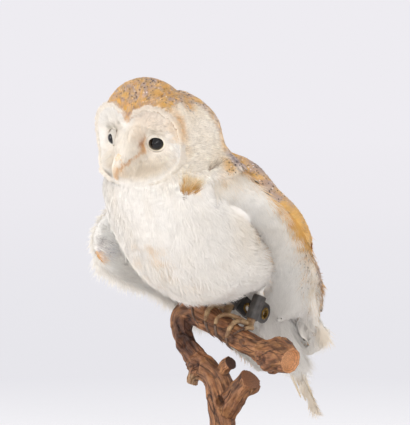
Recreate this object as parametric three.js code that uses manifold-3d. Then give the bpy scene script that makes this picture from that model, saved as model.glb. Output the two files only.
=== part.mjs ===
/**
 * A taxidermy barn owl, wings half open, gripping a crooked vine branch on a turned wooden base.
 *
 * Millimetres, +Z up. The bird faces -Y and its left side is +X. The origin is the centre of the
 * base's underside. Every node is one closed solid; parts that touch keep a thin cut between them.
 */
import * as THREE from 'three';
import { mergeVertices } from 'three/addons/utils/BufferGeometryUtils.js';
import Module from 'manifold-3d';

const wasm = await Module();
wasm.setup();

// Driving dimensions, in millimetres.
const CUT = 0.3; // the thin cut between two parts that touch
const SIMPLER = 0.1; // how far a facet may move when a cut surface is made simpler
const BASE_RADIUS = 88;
const BASE_HEIGHT = 22;
const HEAD_CENTRE = [0, -108, 358];
const HEAD_TURN = { pitch: 20, yaw: 8, roll: 6 }; // degrees: nod down, turn to its left, tilt
const DISC_HALF_WIDTH = 44.5;
const FACE_FORWARD = 33; // head centre to the face between the eyes
const EYE_RADIUS = 7.6;
const EYE_SPACING = 43;
const FEATHER_EDGE = 1.2; // thickness of a wing or tail at the feather tips
const TOE_RADIUS = 2.9;
const TARSUS_RADIUS = 4.4;
const CUFF_RADIUS = 6.5;
const CUFF_WALL = 1.2;
const CUFF_HEIGHT = 24;
const EYELET_HOLE = 3.7;
const EYELET_FLANGE = 6.8;

const COLOURS = {
  plumage: 0xf1e9df,
  gold: 0xd9a860,
  bill: 0xe8c4a4,
  eye: 0x0a0c10,
  toe: 0xc2a176,
  talon: 0x3a3430,
  leather: 0x4c4a48,
  brass: 0x8a6a30,
  vine: 0x8a5a3a,
  base: 0x4a2c1a,
};

const vector = (values) => new THREE.Vector3(...values);
const curveThrough = (points) => new THREE.CatmullRomCurve3(points.map(vector), false, 'centripetal');
const radians = THREE.MathUtils.degToRad;

/** Reads a value at a share from 0 to 1 out of stations [share, value], smoothly between them. */
function along(stations, share) {
  const next = stations.findIndex(([at]) => at >= share);
  if (next === 0) return stations[0][1];
  if (next < 0) return stations.at(-1)[1];
  const [from, low] = stations[next - 1];
  const [to, high] = stations[next];
  return low + (high - low) * THREE.MathUtils.smoothstep(share, from, to);
}

/** Keeps positions only and joins the vertices that share a place, so the surface is closed. */
function welded(geometry) {
  const bare = geometry.clone();
  bare.deleteAttribute('normal');
  bare.deleteAttribute('uv');
  return mergeVertices(bare, 1e-4);
}

/** Turns the triangles over when the closed surface faces inwards. */
function outward(geometry) {
  const { position } = geometry.attributes;
  const index = geometry.index.array;
  const corner = (i) => new THREE.Vector3().fromBufferAttribute(position, i);
  let volume = 0;
  for (let i = 0; i < index.length; i += 3) {
    volume += corner(index[i]).dot(corner(index[i + 1]).cross(corner(index[i + 2])));
  }
  if (volume > 0) return geometry;
  for (let i = 0; i < index.length; i += 3) {
    [index[i], index[i + 1]] = [index[i + 1], index[i]];
  }
  return geometry;
}

/** A closed surface: a sphere's grid of columns and rows laid over place(angle, share). */
function shell(columns, rows, place) {
  const sphere = new THREE.SphereGeometry(1, columns, rows);
  const { position } = sphere.attributes;
  for (let i = 0; i < position.count; i += 1) {
    const column = i % (columns + 1);
    const row = Math.floor(i / (columns + 1));
    const pole = row === 0 || row === rows;
    const angle = pole ? 0 : (2 * Math.PI * (column % columns)) / columns;
    const point = place(angle, row / rows, row);
    position.setXYZ(i, point.x, point.y, point.z);
  }
  return outward(welded(sphere));
}

/**
 * A limb swept along a curve. radius(angle, share) is a length or a pair [sideways, upwards];
 * the first and last rows close the ends flat on the curve's own ends.
 */
function sweep({ curve, columns = 10, rows, radius, up = [0, 0, 1], grow = 0 }) {
  const lift = vector(up);
  const spans = rows - 2;
  return shell(columns, rows, (angle, _share, row) => {
    const share = THREE.MathUtils.clamp((row - 1) / spans, 0, 1);
    const centre = curve.getPoint(share);
    const ahead = curve.getTangent(share);
    if (row === 0) return centre.addScaledVector(ahead, -grow);
    if (row === rows) return centre.addScaledVector(ahead, grow);
    const side = new THREE.Vector3().crossVectors(ahead, lift).normalize();
    const top = new THREE.Vector3().crossVectors(side, ahead);
    const size = radius(angle, share);
    const [wide, high] = Array.isArray(size) ? size : [size, size];
    return centre
      .addScaledVector(ahead, row === 1 ? -grow : row === rows - 1 ? grow : 0)
      .addScaledVector(side, Math.cos(angle) * (wide + grow))
      .addScaledVector(top, Math.sin(angle) * (high + grow));
  });
}

function solidOf(geometry) {
  const { position } = geometry.attributes;
  return new wasm.Manifold(new wasm.Mesh({
    numProp: 3,
    vertProperties: new Float32Array(position.array),
    triVerts: new Uint32Array(geometry.index.array),
  }));
}

function geometryOf(solid) {
  const mesh = solid.getMesh();
  const geometry = new THREE.BufferGeometry();
  geometry.setAttribute('position', new THREE.BufferAttribute(new Float32Array(mesh.vertProperties), 3));
  geometry.setIndex(new THREE.BufferAttribute(new Uint32Array(mesh.triVerts), 1));
  return geometry;
}

/** The largest single body that is left of a shape once the cutters are taken away. */
function cut(geometry, ...cutters) {
  let solid = solidOf(geometry);
  for (const cutter of cutters) solid = solid.subtract(solidOf(cutter));
  const pieces = solid.decompose();
  pieces.sort((a, b) => b.volume() - a.volume());
  return geometryOf(pieces[0].simplify(SIMPLER));
}

function join(...geometries) {
  return geometryOf(geometries.map(solidOf).reduce((all, solid) => all.add(solid)));
}

const owl = new THREE.Group();

function addPart(name, geometry, colour, roughness = 0.9, metalness = 0) {
  const shaded = geometry.clone();
  shaded.computeVertexNormals();
  const material = new THREE.MeshStandardMaterial({ color: colour, roughness, metalness });
  const mesh = new THREE.Mesh(shaded, material);
  mesh.name = name;
  owl.add(mesh);
}

// ---------------------------------------------------------------- head

const headPlace = new THREE.Matrix4()
  .makeTranslation(...HEAD_CENTRE)
  .multiply(new THREE.Matrix4().makeRotationZ(radians(HEAD_TURN.yaw)))
  .multiply(new THREE.Matrix4().makeRotationX(radians(HEAD_TURN.pitch)))
  .multiply(new THREE.Matrix4().makeRotationY(radians(HEAD_TURN.roll)));

/** A point of the head: x to its left, forward out of the face, high above the head's centre. */
const headPoint = (x, forward, high) => new THREE.Vector3(x, -forward, high).applyMatrix4(headPlace);

/** Distance from the bill's axis to the edge of the heart-shaped disc, 0 at the top, PI at the chin. */
function discEdge(turn) {
  return along([[0, 26], [0.18, 37], [0.36, 44], [0.5, DISC_HALF_WIDTH], [0.68, 47], [0.85, 46], [1, 43]],
    turn / Math.PI);
}

/** The face between bill axis and disc edge: a dish on each side of the central ridge. */
function faceForward(x, high, ratio) {
  const back = 18 * Math.pow(Math.abs(x) / DISC_HALF_WIDTH, 1.8) + 7 * Math.pow(Math.abs(high) / 44, 2.2);
  const dish = 5.5 * Math.sin(Math.PI * THREE.MathUtils.clamp((ratio - 0.08) / 0.92, 0, 1));
  const nearMiddle = Math.exp(-Math.pow(x / 7.5, 2));
  const ridge = along([[0, 0], [0.3, 11], [0.5, 10], [0.75, 4.5], [1, 0]], (high + 44) / 70) * nearMiddle;
  return FACE_FORWARD - back - dish + ridge;
}

const RIM_SHARE = 0.5; // how much of the grid the facial disc takes
const CROWN_REACH = 58;
const HEAD_BACK = 40;

function headShell(grow = 0) {
  return shell(24, 18, (angle, share) => {
    const turn = angle > Math.PI ? 2 * Math.PI - angle : angle;
    const edge = discEdge(turn);
    const sideways = Math.sin(angle);
    const upwards = Math.cos(angle);
    if (share <= RIM_SHARE) {
      const ratio = share / RIM_SHARE;
      const reach = edge * ratio;
      const x = sideways * reach;
      const high = upwards * reach;
      return headPoint(x * (1 + grow / edge), faceForward(x, high, ratio) + grow, high * (1 + grow / edge));
    }
    const round = ((share - RIM_SHARE) / (1 - RIM_SHARE)) * (Math.PI / 2);
    const rimForward = faceForward(sideways * edge, upwards * edge, 1);
    const crown = upwards > 0 ? 3 + (CROWN_REACH - edge * 0.86) * Math.pow(upwards, 1.4) : 3;
    const reach = (edge + crown * Math.pow(Math.sin(2 * Math.min(round, Math.PI / 4)), 0.8))
      * Math.pow(Math.cos(round), 0.72) + grow;
    const forward = rimForward - (rimForward + HEAD_BACK + grow) * Math.sin(round);
    const centred = share >= 1 ? 0 : reach;
    return headPoint(sideways * centred, forward, upwards * centred);
  });
}

function eyeShell(side, grow = 0) {
  const forward = faceForward(EYE_SPACING / 2, 2, 0.45) - EYE_RADIUS * 0.62;
  const centre = headPoint((side * EYE_SPACING) / 2, forward, 2);
  const ball = new THREE.SphereGeometry(EYE_RADIUS + grow, 12, 8);
  return outward(welded(ball.translate(centre.x, centre.y, centre.z)));
}

/** The bill: a hooked upper mandible over a short lower one, both half sunk in the bristles. */
function billShell(points, widths, grow = 0) {
  return sweep({
    curve: new THREE.CatmullRomCurve3(points.map((p) => headPoint(...p)), false, 'centripetal'),
    columns: 8,
    rows: 8,
    radius: (_angle, share) => [along(widths, share), along(widths, share) * 1.15],
    up: [0, -1, 0.3],
    grow,
  });
}
const UPPER_BILL = [[[0, 34, -2], [-1, 46, -5], [-1.5, 53, -11.5], [-2, 51.5, -20]],
  [[0, 5], [0.5, 4], [0.85, 2], [1, 0.7]]];
const LOWER_BILL = [[[0, 32, -12], [-1, 41, -15], [-1.5, 47, -18]], [[0, 3.6], [0.6, 2.8], [1, 1.1]]];

// ---------------------------------------------------------------- neck, trunk and tail

const TRUNK_SPINE = curveThrough([
  [0, -86, 344], [0, -77, 314], [0, -58, 278], [0, -24, 248], [0, 20, 240], [0, 54, 220], [0, 76, 196]]);

const BACK_SHARE = [[0, 0.95], [0.3, 0.96], [0.44, 0.85], [0.6, 0.62], [1, 0.8]]; // the back against the breast
const BACK_SQUARE = 0.13; // how far the flanks fill out under the wings

function trunkShell(grow = 0) {
  const width = [[0, 34], [0.04, 54], [0.1, 66], [0.3, 64], [0.45, 60], [0.62, 52], [0.78, 36], [0.9, 23], [1, 12]];
  const depth = [[0, 26], [0.04, 46], [0.1, 62], [0.3, 64], [0.45, 60], [0.62, 44], [0.78, 26], [0.9, 14], [1, 6]];
  return sweep({
    curve: TRUNK_SPINE,
    columns: 20,
    rows: 16,
    radius: (angle, share) => {
      if (angle <= Math.PI) return [along(width, share), along(depth, share)];
      const square = 1 + BACK_SQUARE * Math.sin(2 * angle) ** 2;
      return [along(width, share) * square, along(depth, share) * square * along(BACK_SHARE, share)];
    },
    up: [0, -1, 0],
    grow,
  });
}

function neckShell(grow = 0) {
  const width = [[0, 6], [0.1, 22], [0.25, 35], [0.5, 45], [1, 48]];
  const depth = [[0, 6], [0.1, 20], [0.25, 32], [0.5, 41], [1, 44]];
  return sweep({
    curve: curveThrough([[0, -62, 400], [0, -64, 378], [0, -66, 350], [0, -66, 322]]),
    columns: 18,
    rows: 9,
    radius: (_angle, share) => [along(width, share), along(depth, share)],
    up: [0, -1, 0],
    grow,
  });
}

const TAIL_ROOT = [0, 45, 227];
const TAIL_TIP = [0, 148, 74];

/** Ten narrow overlapping tail feathers: a shallow fan with a notched end. */
function tailShell(grow = 0) {
  const feathers = 5;
  return shell(16, 9, (angle, share, row) => {
    const across = -Math.cos(angle);
    const notch = 9 * Math.abs(Math.sin((across * feathers * Math.PI) / 2)) * share ** 4;
    const root = vector(TAIL_ROOT);
    const reach = vector(TAIL_TIP).sub(root);
    const length = reach.length();
    const ahead = reach.normalize();
    const back = new THREE.Vector3().crossVectors(new THREE.Vector3(1, 0, 0), ahead);
    const centre = root.addScaledVector(ahead, (length - notch) * share);
    if (row === 0 || row === 9) return root.setX(0).addScaledVector(ahead, row ? 0 : -grow);
    const halfWidth = along([[0, 17], [0.3, 18], [0.8, 20], [1, 16]], share) + grow;
    const halfThick = along([[0, 9], [0.45, 3.2], [1, FEATHER_EDGE / 2 + 0.2]], share) + grow;
    return centre
      .addScaledVector(new THREE.Vector3(1, 0, 0), across * halfWidth)
      .addScaledVector(back, Math.sin(angle) * halfThick - 5 * across * across * share);
  });
}

// ---------------------------------------------------------------- wings

const CHORD_STEPS = [0, 0.07, 0.24, 0.48, 0.76, 1];

/** A half-open wing between its leading curve and the curve of its feather tips. */
function wingShell({ leading, trailing, camber, feathers, dorsal }) {
  const front = curveThrough(leading);
  const tips = curveThrough(trailing);
  const steps = CHORD_STEPS.length;
  const columns = steps * 2;
  const rows = 28;
  return shell(columns, rows, (angle, share, row) => {
    const column = Math.round((angle / (2 * Math.PI)) * columns);
    const above = column < steps;
    const chord = CHORD_STEPS[above ? column : columns - 1 - column];
    const edge = front.getPoint(share);
    const reach = tips.getPoint(share).sub(edge);
    const swell = new THREE.Vector3().crossVectors(front.getTangent(share), reach).normalize();
    swell.multiplyScalar(dorsal);
    const notch = along([[0, 0], [0.3, 0.075], [1, 0.075]], share);
    const scallop = 1 - notch * (1 - Math.sqrt(Math.abs(Math.sin(Math.PI * feathers * share))));
    const arm = along([[0, 15], [0.3, 11], [0.5, 6], [0.75, 2.5], [1, FEATHER_EDGE]], share);
    const body = Math.sqrt(Math.min(1, chord * 9)) * Math.pow(1 - chord, 1.3);
    const half = Math.max(FEATHER_EDGE / 2, arm * body) * (above ? 1 : -1);
    const bulge = camber * Math.sin(Math.PI * Math.pow(chord, 0.8)) * Math.sin(Math.PI * Math.min(1, share));
    const closed = row === 0 || row === rows;
    return edge
      .addScaledVector(reach, closed ? 0.5 : chord * scallop)
      .addScaledVector(swell, closed ? 0 : half + bulge);
  });
}

const LEFT_WING = {
  leading: [[28, -42, 334], [58, -38, 324], [80, -37, 304], [98, -17, 280], [99, 2, 258], [88, 25, 238],
    [66, 54, 207], [40, 96, 180], [10, 150, 153]],
  trailing: [[4, -14, 318], [5, 38, 276], [5, 72, 232], [-3, 86, 192], [-2, 104, 160], [0, 118, 143],
    [3, 136, 139], [10, 150, 153]],
  camber: 18,
  feathers: 7,
  dorsal: 1,
};

const RIGHT_WING = {
  leading: [[-30, -52, 318], [-62, -52, 306], [-90, -60, 286], [-100, -73, 259], [-97, -66, 234],
    [-94, -42, 218], [-87, -8, 204], [-79, 18, 193], [-72, 54, 170], [-64, 98, 139], [-60, 136, 116]],
  trailing: [[-4, -14, 318], [-6, 38, 276], [-10, 74, 232], [-20, 98, 190], [-36, 118, 156], [-50, 134, 130],
    [-60, 136, 116]],
  camber: 20,
  feathers: 7,
  dorsal: -1,
};

// ---------------------------------------------------------------- vine branch and base

/** Bark that bulges and twists: a share of the radius, the same on every build. */
const gnarl = (angle, share, seed) => 1
  + 0.07 * Math.sin(3 * angle + 9 * share + seed)
  + 0.06 * Math.sin(2 * angle - 17 * share + 2 * seed)
  + 0.05 * Math.sin(31 * share + seed);

const ARM_CURVE = curveThrough([
  [-30, 0, 138], [-43, 1, 152], [-52, 2, 168], [-51, 4, 182], [-40, 5, 187], [-18, 5, 178], [6, 5, 168],
  [30, 4, 158], [54, 3, 151], [68, 2, 149], [84, 0, 146]]);
const ARM_RADIUS = [[0, 12], [0.16, 11], [0.3, 13], [0.45, 13.5], [0.62, 12], [0.74, 12], [0.87, 18],
  [0.94, 17.5], [1, 12.6]];
const TRUNK_CURVE = curveThrough([[0, 0, BASE_HEIGHT + CUT], [0, 0, 45], [1, 0, 68], [-1, 0, 95], [-6, 0, 122], [-32, 0, 140]]);

function branchSolid(grow = 0) {
  const arm = sweep({
    curve: ARM_CURVE,
    columns: 10,
    rows: 26,
    radius: (angle, share) => along(ARM_RADIUS, share) * (share < 1 ? gnarl(angle, share, 1) : 1),
    up: [0, -1, 0],
    grow,
  });
  const trunk = sweep({
    curve: TRUNK_CURVE,
    columns: 10,
    rows: 12,
    radius: (angle, share) => along([[0, 13.5], [0.4, 12.8], [0.8, 15], [1, 12]], share) * gnarl(angle, share, 4),
    up: [0, -1, 0],
    grow,
  });
  const sawnStub = sweep({
    curve: curveThrough([[4, 0, 92], [18, -1, 108], [37, -2, 126]]),
    columns: 10,
    rows: 7,
    radius: (angle, share) => 11.5 * gnarl(angle, share, 2),
    up: [0, -1, 0],
    grow,
  });
  const knot = sweep({
    curve: curveThrough([[-2, 0, 126], [7, -2, 136], [14, -3, 140]]),
    columns: 8,
    rows: 6,
    radius: (angle, share) => 7.5 * gnarl(angle, share, 3),
    up: [0, -1, 0],
    grow,
  });
  const spur = sweep({
    curve: curveThrough([[-22, -2, 134], [-31, -4, 126], [-34, -5, 116]]),
    columns: 8,
    rows: 6,
    radius: (angle, share) => along([[0, 11], [1, 6]], share) * gnarl(angle, share, 6),
    up: [0, -1, 0],
    grow,
  });
  return join(trunk, arm, sawnStub, knot, spur);
}

function baseShell() {
  const profile = [[0, 0], [BASE_RADIUS, 0], [BASE_RADIUS, 9], [BASE_RADIUS - 4, 12],
    [BASE_RADIUS - 7, 19], [BASE_RADIUS - 14, BASE_HEIGHT], [0, BASE_HEIGHT]];
  const lathe = new THREE.LatheGeometry(profile.map(([x, y]) => new THREE.Vector2(x, y)), 28);
  return outward(welded(lathe.rotateX(Math.PI / 2)));
}

// ---------------------------------------------------------------- legs, feet and cuffs

/** A point on the perch: x along it, turn in degrees from its top, minus towards the front. */
function perchPoint(x, turn, lift) {
  let share = 0.45;
  while (share < 1 && ARM_CURVE.getPoint(share).x < x) share += 0.002;
  const centre = ARM_CURVE.getPoint(share);
  const reach = along(ARM_RADIUS, share) + lift;
  return [x, centre.y + reach * Math.sin(radians(turn)), centre.z + reach * Math.cos(radians(turn))];
}

const TOE_LIFT = TOE_RADIUS + 1.2;
const TALON_LIFT = [5, 3.2]; // halfway and at the tip, above the bark's mean surface

/** Each toe runs over the perch from the foot's root; its talon carries on from the last point. */
const FEET = {
  right: {
    root: [-13.5, 24, 187],
    ankle: [-15, 50, 208],
    toes: [
      { route: [[-20, 8], [-27, -28], [-28, -62]], talon: [[-24, -88], [-19, -108]] },
      { route: [[-13, 2], [-13, -38], [-11, -78]], talon: [[-7, -104], [-2, -122]] },
      { route: [[-8, 66], [-4, 100]], talon: [[0, 128], [3, 150]] },
      { route: [[-22, 70], [-30, 98]], talon: [[-34, 124], [-36, 146]] },
    ],
  },
  left: {
    root: [14, 24, 174],
    ankle: [18, 38, 205],
    toes: [
      { route: [[5, 6], [0, -34], [0, -70]], talon: [[3, -100], [8, -124]] },
      { route: [[16, -4], [16, -48], [15, -88]], talon: [[16, -112], [21, -126]] },
      { route: [[24, 40], [31, 12], [29, -22]], talon: [[26, -50], [21, -68]] },
      { route: [[12, 70], [10, 102]], talon: [[8, 128], [6, 150]] },
    ],
  },
};

function toeCurves({ root, toes }) {
  return toes.map(({ route, talon }) => {
    const onPerch = route.map(([x, turn]) => perchPoint(x, turn, TOE_LIFT));
    const claw = talon.map(([x, turn], i) => perchPoint(x, turn, TALON_LIFT[i]));
    return { toe: curveThrough([root, ...onPerch]), talon: curveThrough([onPerch.at(-1), ...claw]) };
  });
}

const toeShell = (curve, grow = 0) => sweep({
  curve,
  columns: 6,
  rows: 7,
  radius: (_angle, share) => TOE_RADIUS * (1 - 0.18 * share + 0.08 * Math.sin(14 * share)),
  up: [1, 0, 0],
  grow,
});

function footSolid(foot, curves, grow = 0) {
  const knuckle = new THREE.SphereGeometry(5 + grow, 8, 6).translate(...foot.root);
  return join(outward(welded(knuckle)), ...curves.map(({ toe }) => toeShell(toe, grow)));
}

const talonShell = (curve) => sweep({
  curve,
  columns: 5,
  rows: 6,
  radius: (_angle, share) => along([[0, 1.9], [0.4, 1.5], [1, 0.35]], share),
  up: [1, 0, 0],
});

function legShell(foot, grow = 0) {
  const shank = [0.35, 0.7].map((share) => vector(foot.root).lerp(vector(foot.ankle), share).toArray());
  const thigh = [foot.ankle[0] * 1.25, foot.ankle[1] - 6, foot.ankle[2] + 26];
  return sweep({
    curve: curveThrough([foot.root, ...shank, foot.ankle, thigh]),
    columns: 8,
    rows: 9,
    radius: (_angle, share) => along([[0, TARSUS_RADIUS], [0.66, TARSUS_RADIUS], [1, 12]], share),
    grow,
  });
}

/** Places something modelled round +Z onto a foot's tarsus, turned so that its flap points to face. */
function onTarsus(foot, share, face) {
  const root = vector(foot.root);
  const ahead = vector(foot.ankle).sub(root);
  const centre = root.addScaledVector(ahead, share);
  const up = ahead.normalize();
  const out = vector(face).projectOnPlane(up).normalize();
  const side = new THREE.Vector3().crossVectors(up, out);
  return new THREE.Matrix4().makeBasis(out, side, up).setPosition(centre);
}

const FLAP_REACH = 17; // from the tarsus to the middle of the eyelet
const FLAP_HALF = 1.2;

/** A leather cuff: a short sleeve whose two ends meet in a round-cornered flap with a hole. */
function cuffSolid() {
  const ring = new THREE.Shape().absarc(0, 0, CUFF_RADIUS, 0, 2 * Math.PI);
  ring.holes.push(new THREE.Path().absarc(0, 0, CUFF_RADIUS - CUFF_WALL, 0, 2 * Math.PI));
  const sleeve = new THREE.ExtrudeGeometry(ring, { depth: CUFF_HEIGHT, bevelEnabled: false, curveSegments: 8 });
  sleeve.translate(0, 0, -CUFF_HEIGHT / 2);
  const half = CUFF_HEIGHT / 2 - 2;
  const outline = new THREE.Shape()
    .moveTo(CUFF_RADIUS - CUFF_WALL / 2, -half)
    .lineTo(FLAP_REACH, -half)
    .absarc(FLAP_REACH, 0, half, -Math.PI / 2, Math.PI / 2)
    .lineTo(CUFF_RADIUS - CUFF_WALL / 2, half);
  outline.holes.push(new THREE.Path().absarc(FLAP_REACH, 0, EYELET_HOLE + 1.1, 0, 2 * Math.PI));
  const flap = new THREE.ExtrudeGeometry(outline, { depth: 2 * FLAP_HALF, bevelEnabled: false, curveSegments: 6 });
  flap.translate(0, 0, -FLAP_HALF).rotateX(Math.PI / 2);
  return join(outward(welded(sleeve)), outward(welded(flap)));
}

/** A rolled brass eyelet: a barrel through the flap with a flange on each face. */
function eyeletShell() {
  const face = FLAP_HALF + CUT;
  const rim = face + 0.9;
  const barrel = EYELET_HOLE + 0.8;
  const profile = [[EYELET_HOLE, -rim + 0.4], [EYELET_HOLE + 1, -rim], [EYELET_FLANGE, -face], [barrel, -face],
    [barrel, face], [EYELET_FLANGE, face], [EYELET_HOLE + 1, rim], [EYELET_HOLE, rim - 0.4]];
  profile.push(profile[0]);
  const lathe = new THREE.LatheGeometry(profile.map(([x, y]) => new THREE.Vector2(x, y)), 12);
  return outward(welded(lathe)).translate(FLAP_REACH, 0, 0);
}

// ---------------------------------------------------------------- assembly

const head = headShell();
const headCutter = headShell(CUT);
const trunkCutter = trunkShell(CUT);
const neckCutter = neckShell(CUT);
const branch = branchSolid();
const branchCutter = branchSolid(CUT);
const sides = [['left', 1], ['right', -1]];

const bills = { beak_upper: UPPER_BILL, beak_lower: LOWER_BILL };
addPart('head', cut(head,
  ...sides.map(([, side]) => eyeShell(side, CUT)),
  ...Object.values(bills).map(([points, widths]) => billShell(points, widths, CUT))), COLOURS.plumage);
addPart('beak_upper', billShell(...UPPER_BILL), COLOURS.bill, 0.5);
addPart('beak_lower', cut(billShell(...LOWER_BILL), billShell(...UPPER_BILL, CUT)), COLOURS.bill, 0.5);
addPart('neck', cut(neckShell(), headCutter, trunkCutter), COLOURS.plumage);
addPart('trunk', cut(trunkShell(), headCutter), COLOURS.plumage);
addPart('tail', cut(tailShell(), trunkCutter, ...Object.values(FEET).map((foot) => legShell(foot, CUT))),
  COLOURS.plumage);
addPart('perch_branch', branch, COLOURS.vine, 0.8);
addPart('stand_base', baseShell(), COLOURS.base, 0.5);

const wings = { left: LEFT_WING, right: RIGHT_WING };
const flapFaces = { left: [-0.1, 1, 0], right: [0.26, 0.96, 0] };
for (const [name, side] of sides) {
  const foot = FEET[name];
  const curves = toeCurves(foot);
  const feet = footSolid(foot, curves);
  const footCutter = footSolid(foot, curves, CUT);
  addPart(`eye_${name}`, eyeShell(side), COLOURS.eye, 0.05);
  addPart(`wing_${name}`, cut(wingShell(wings[name]), trunkCutter, neckCutter, tailShell(CUT)), COLOURS.gold);
  addPart(`leg_${name}`, cut(legShell(foot), trunkCutter, footCutter, branchCutter), COLOURS.plumage);
  addPart(`foot_${name}`, cut(feet, branchCutter), COLOURS.toe, 0.8);
  curves.forEach(({ talon, toe }, i) => {
    addPart(`talon_${name}_${i + 1}`, cut(talonShell(talon), toeShell(toe, CUT), branchCutter), COLOURS.talon, 0.4);
  });
  const place = onTarsus(foot, 0.52, flapFaces[name]);
  const turned = eyeletShell();
  addPart(`cuff_${name}`, cut(cuffSolid().applyMatrix4(place), trunkCutter), COLOURS.leather, 0.6);
  addPart(`eyelet_${name}`, turned.applyMatrix4(place), COLOURS.brass, 0.35, 0.9);
}

export default owl;
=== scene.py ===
"""A taxidermy barn owl gripping a crooked vine branch: its looks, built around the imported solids.

Lengths named *_MM or described in mm are millimetres; meshes are in metres. The owl's body faces -Y,
its left side is +X, and the origin is the centre of the base's underside.
"""

import logging
import math
from dataclasses import dataclass, field
from enum import Enum

import bpy
import numpy as np
from mathutils import Matrix, Vector
from mathutils.bvhtree import BVHTree


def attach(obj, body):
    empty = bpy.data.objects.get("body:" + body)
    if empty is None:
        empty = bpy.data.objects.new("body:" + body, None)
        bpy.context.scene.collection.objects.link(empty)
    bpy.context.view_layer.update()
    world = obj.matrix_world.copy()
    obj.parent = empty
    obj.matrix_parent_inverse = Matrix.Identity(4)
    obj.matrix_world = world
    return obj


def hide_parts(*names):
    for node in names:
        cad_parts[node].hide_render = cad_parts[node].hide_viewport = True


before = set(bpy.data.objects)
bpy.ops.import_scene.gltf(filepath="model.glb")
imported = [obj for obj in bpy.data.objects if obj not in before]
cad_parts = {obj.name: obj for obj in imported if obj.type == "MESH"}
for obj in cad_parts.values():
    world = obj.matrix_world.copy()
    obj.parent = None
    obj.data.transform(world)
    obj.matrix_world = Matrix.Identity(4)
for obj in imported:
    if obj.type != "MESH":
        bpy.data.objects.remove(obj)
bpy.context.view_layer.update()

MM = 0.001
BODY = "root"
BAKE_MAP = "OFBake"  # the bake map, where each piece's colours have their place
VANE_MAP = "Vane"  # across and along each feather, in centimetres
COAT = "Coat"  # each corner's colour: the feather's or wood's own, with painted shade in a few places of the plumage
GRAIN = "Grain"  # round and along the wood, in mm
SPECKLE = "Speckle"  # how strongly dark and pale dots show; on the vine, how dark the knots are and how deep the painted shade in the crook's hollow is
PIECE_LIMIT = 190000  # triangles in one piece of the coat
TUFT_PATCH = 0.003  # size of one tuft on the bake map
ROOT_SEED = 19

log = logging.getLogger("owl")
logging.basicConfig(level=logging.INFO, format="%(message)s")


# ------------------------------------------------------------------ numbers and noise


def linear(code: str) -> np.ndarray:
    """Turns an sRGB hex colour into linear red, green and blue."""
    parts = np.array([int(code[i : i + 2], 16) for i in (0, 2, 4)]) / 255
    return np.where(parts <= 0.04045, parts / 12.92, ((parts + 0.055) / 1.055) ** 2.4)


def smooth(low: float, high: float, value: np.ndarray) -> np.ndarray:
    """Rises smoothly from 0 at low to 1 at high; low may be the larger."""
    share = np.clip((value - low) / (high - low), 0, 1)
    return share * share * (3 - 2 * share)


def stations(pairs: list[tuple[float, float]], share: np.ndarray) -> np.ndarray:
    """Reads values between stations (share, value), eased as the solids are."""
    at = np.array([p[0] for p in pairs])
    value = np.array([p[1] for p in pairs])
    share = np.clip(share, at[0], at[-1])
    right = np.clip(np.searchsorted(at, share), 1, len(at) - 1)
    ease = smooth(0, 1, (share - at[right - 1]) / (at[right] - at[right - 1]))
    return value[right - 1] + (value[right] - value[right - 1]) * ease


def unit(vectors: np.ndarray) -> np.ndarray:
    """Scales each vector to length one."""
    return vectors / np.maximum(np.linalg.norm(vectors, axis=-1, keepdims=True), 1e-12)


def mix(first: np.ndarray, second: np.ndarray, share: np.ndarray) -> np.ndarray:
    """Blends two arrays of colours or vectors, row by row."""
    share = np.asarray(share)[..., None]
    return first * (1 - share) + second * share


def noise(points: np.ndarray, size: float, seed: int = 0) -> np.ndarray:
    """Smooth lattice noise from -1 to 1.

    Args:
        points: places, in any unit, as rows of three.
        size: the width of one lump, in the same unit.
        seed: picks another pattern.

    Returns:
        One number for each place.
    """
    scaled = points / size + 31.7 * seed
    cell = np.floor(scaled).astype(np.int64)
    part = scaled - cell
    part = part * part * (3 - 2 * part)
    total = np.zeros(points.shape[:-1])
    for corner in np.ndindex(2, 2, 2):
        key = cell + np.array(corner)
        mixed = key[..., 0] * 73856093 ^ key[..., 1] * 19349663 ^ key[..., 2] * 83492791
        mixed = ((mixed ^ (mixed >> 13)) * 1274126177) & 0x7FFFFFFF
        value = ((mixed ^ (mixed >> 15)) % 65536) / 32767.5 - 1
        weight = np.prod(np.where(np.array(corner) == 1, part, 1 - part), axis=-1)
        total += value * weight
    return total


def curve_points(control: list[tuple[float, float, float]], share: np.ndarray) -> np.ndarray:
    """Points of the centripetal Catmull-Rom curve that the solids were made with."""
    knots = np.array(control, float)
    first = 2 * knots[0] - knots[1]
    last = 2 * knots[-1] - knots[-2]
    knots = np.vstack([first, knots, last])
    spans = len(control) - 1
    place = np.clip(share, 0, 1) * spans
    index = np.minimum(np.floor(place).astype(int), spans - 1)
    step = (place - index)[..., None]
    p0, p1, p2, p3 = (knots[index + k] for k in range(4))
    gaps = [np.linalg.norm(b - a, axis=-1, keepdims=True) ** 0.5 for a, b in ((p0, p1), (p1, p2), (p2, p3))]
    lean1 = ((p1 - p0) / gaps[0] - (p2 - p0) / (gaps[0] + gaps[1]) + (p2 - p1) / gaps[1]) * gaps[1]
    lean2 = ((p2 - p1) / gaps[1] - (p3 - p1) / (gaps[1] + gaps[2]) + (p3 - p2) / gaps[2]) * gaps[1]
    square = -3 * p1 + 3 * p2 - 2 * lean1 - lean2
    cube = 2 * p1 - 2 * p2 + lean1 + lean2
    return p1 + lean1 * step + square * step**2 + cube * step**3


# ------------------------------------------------------------------ materials


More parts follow.
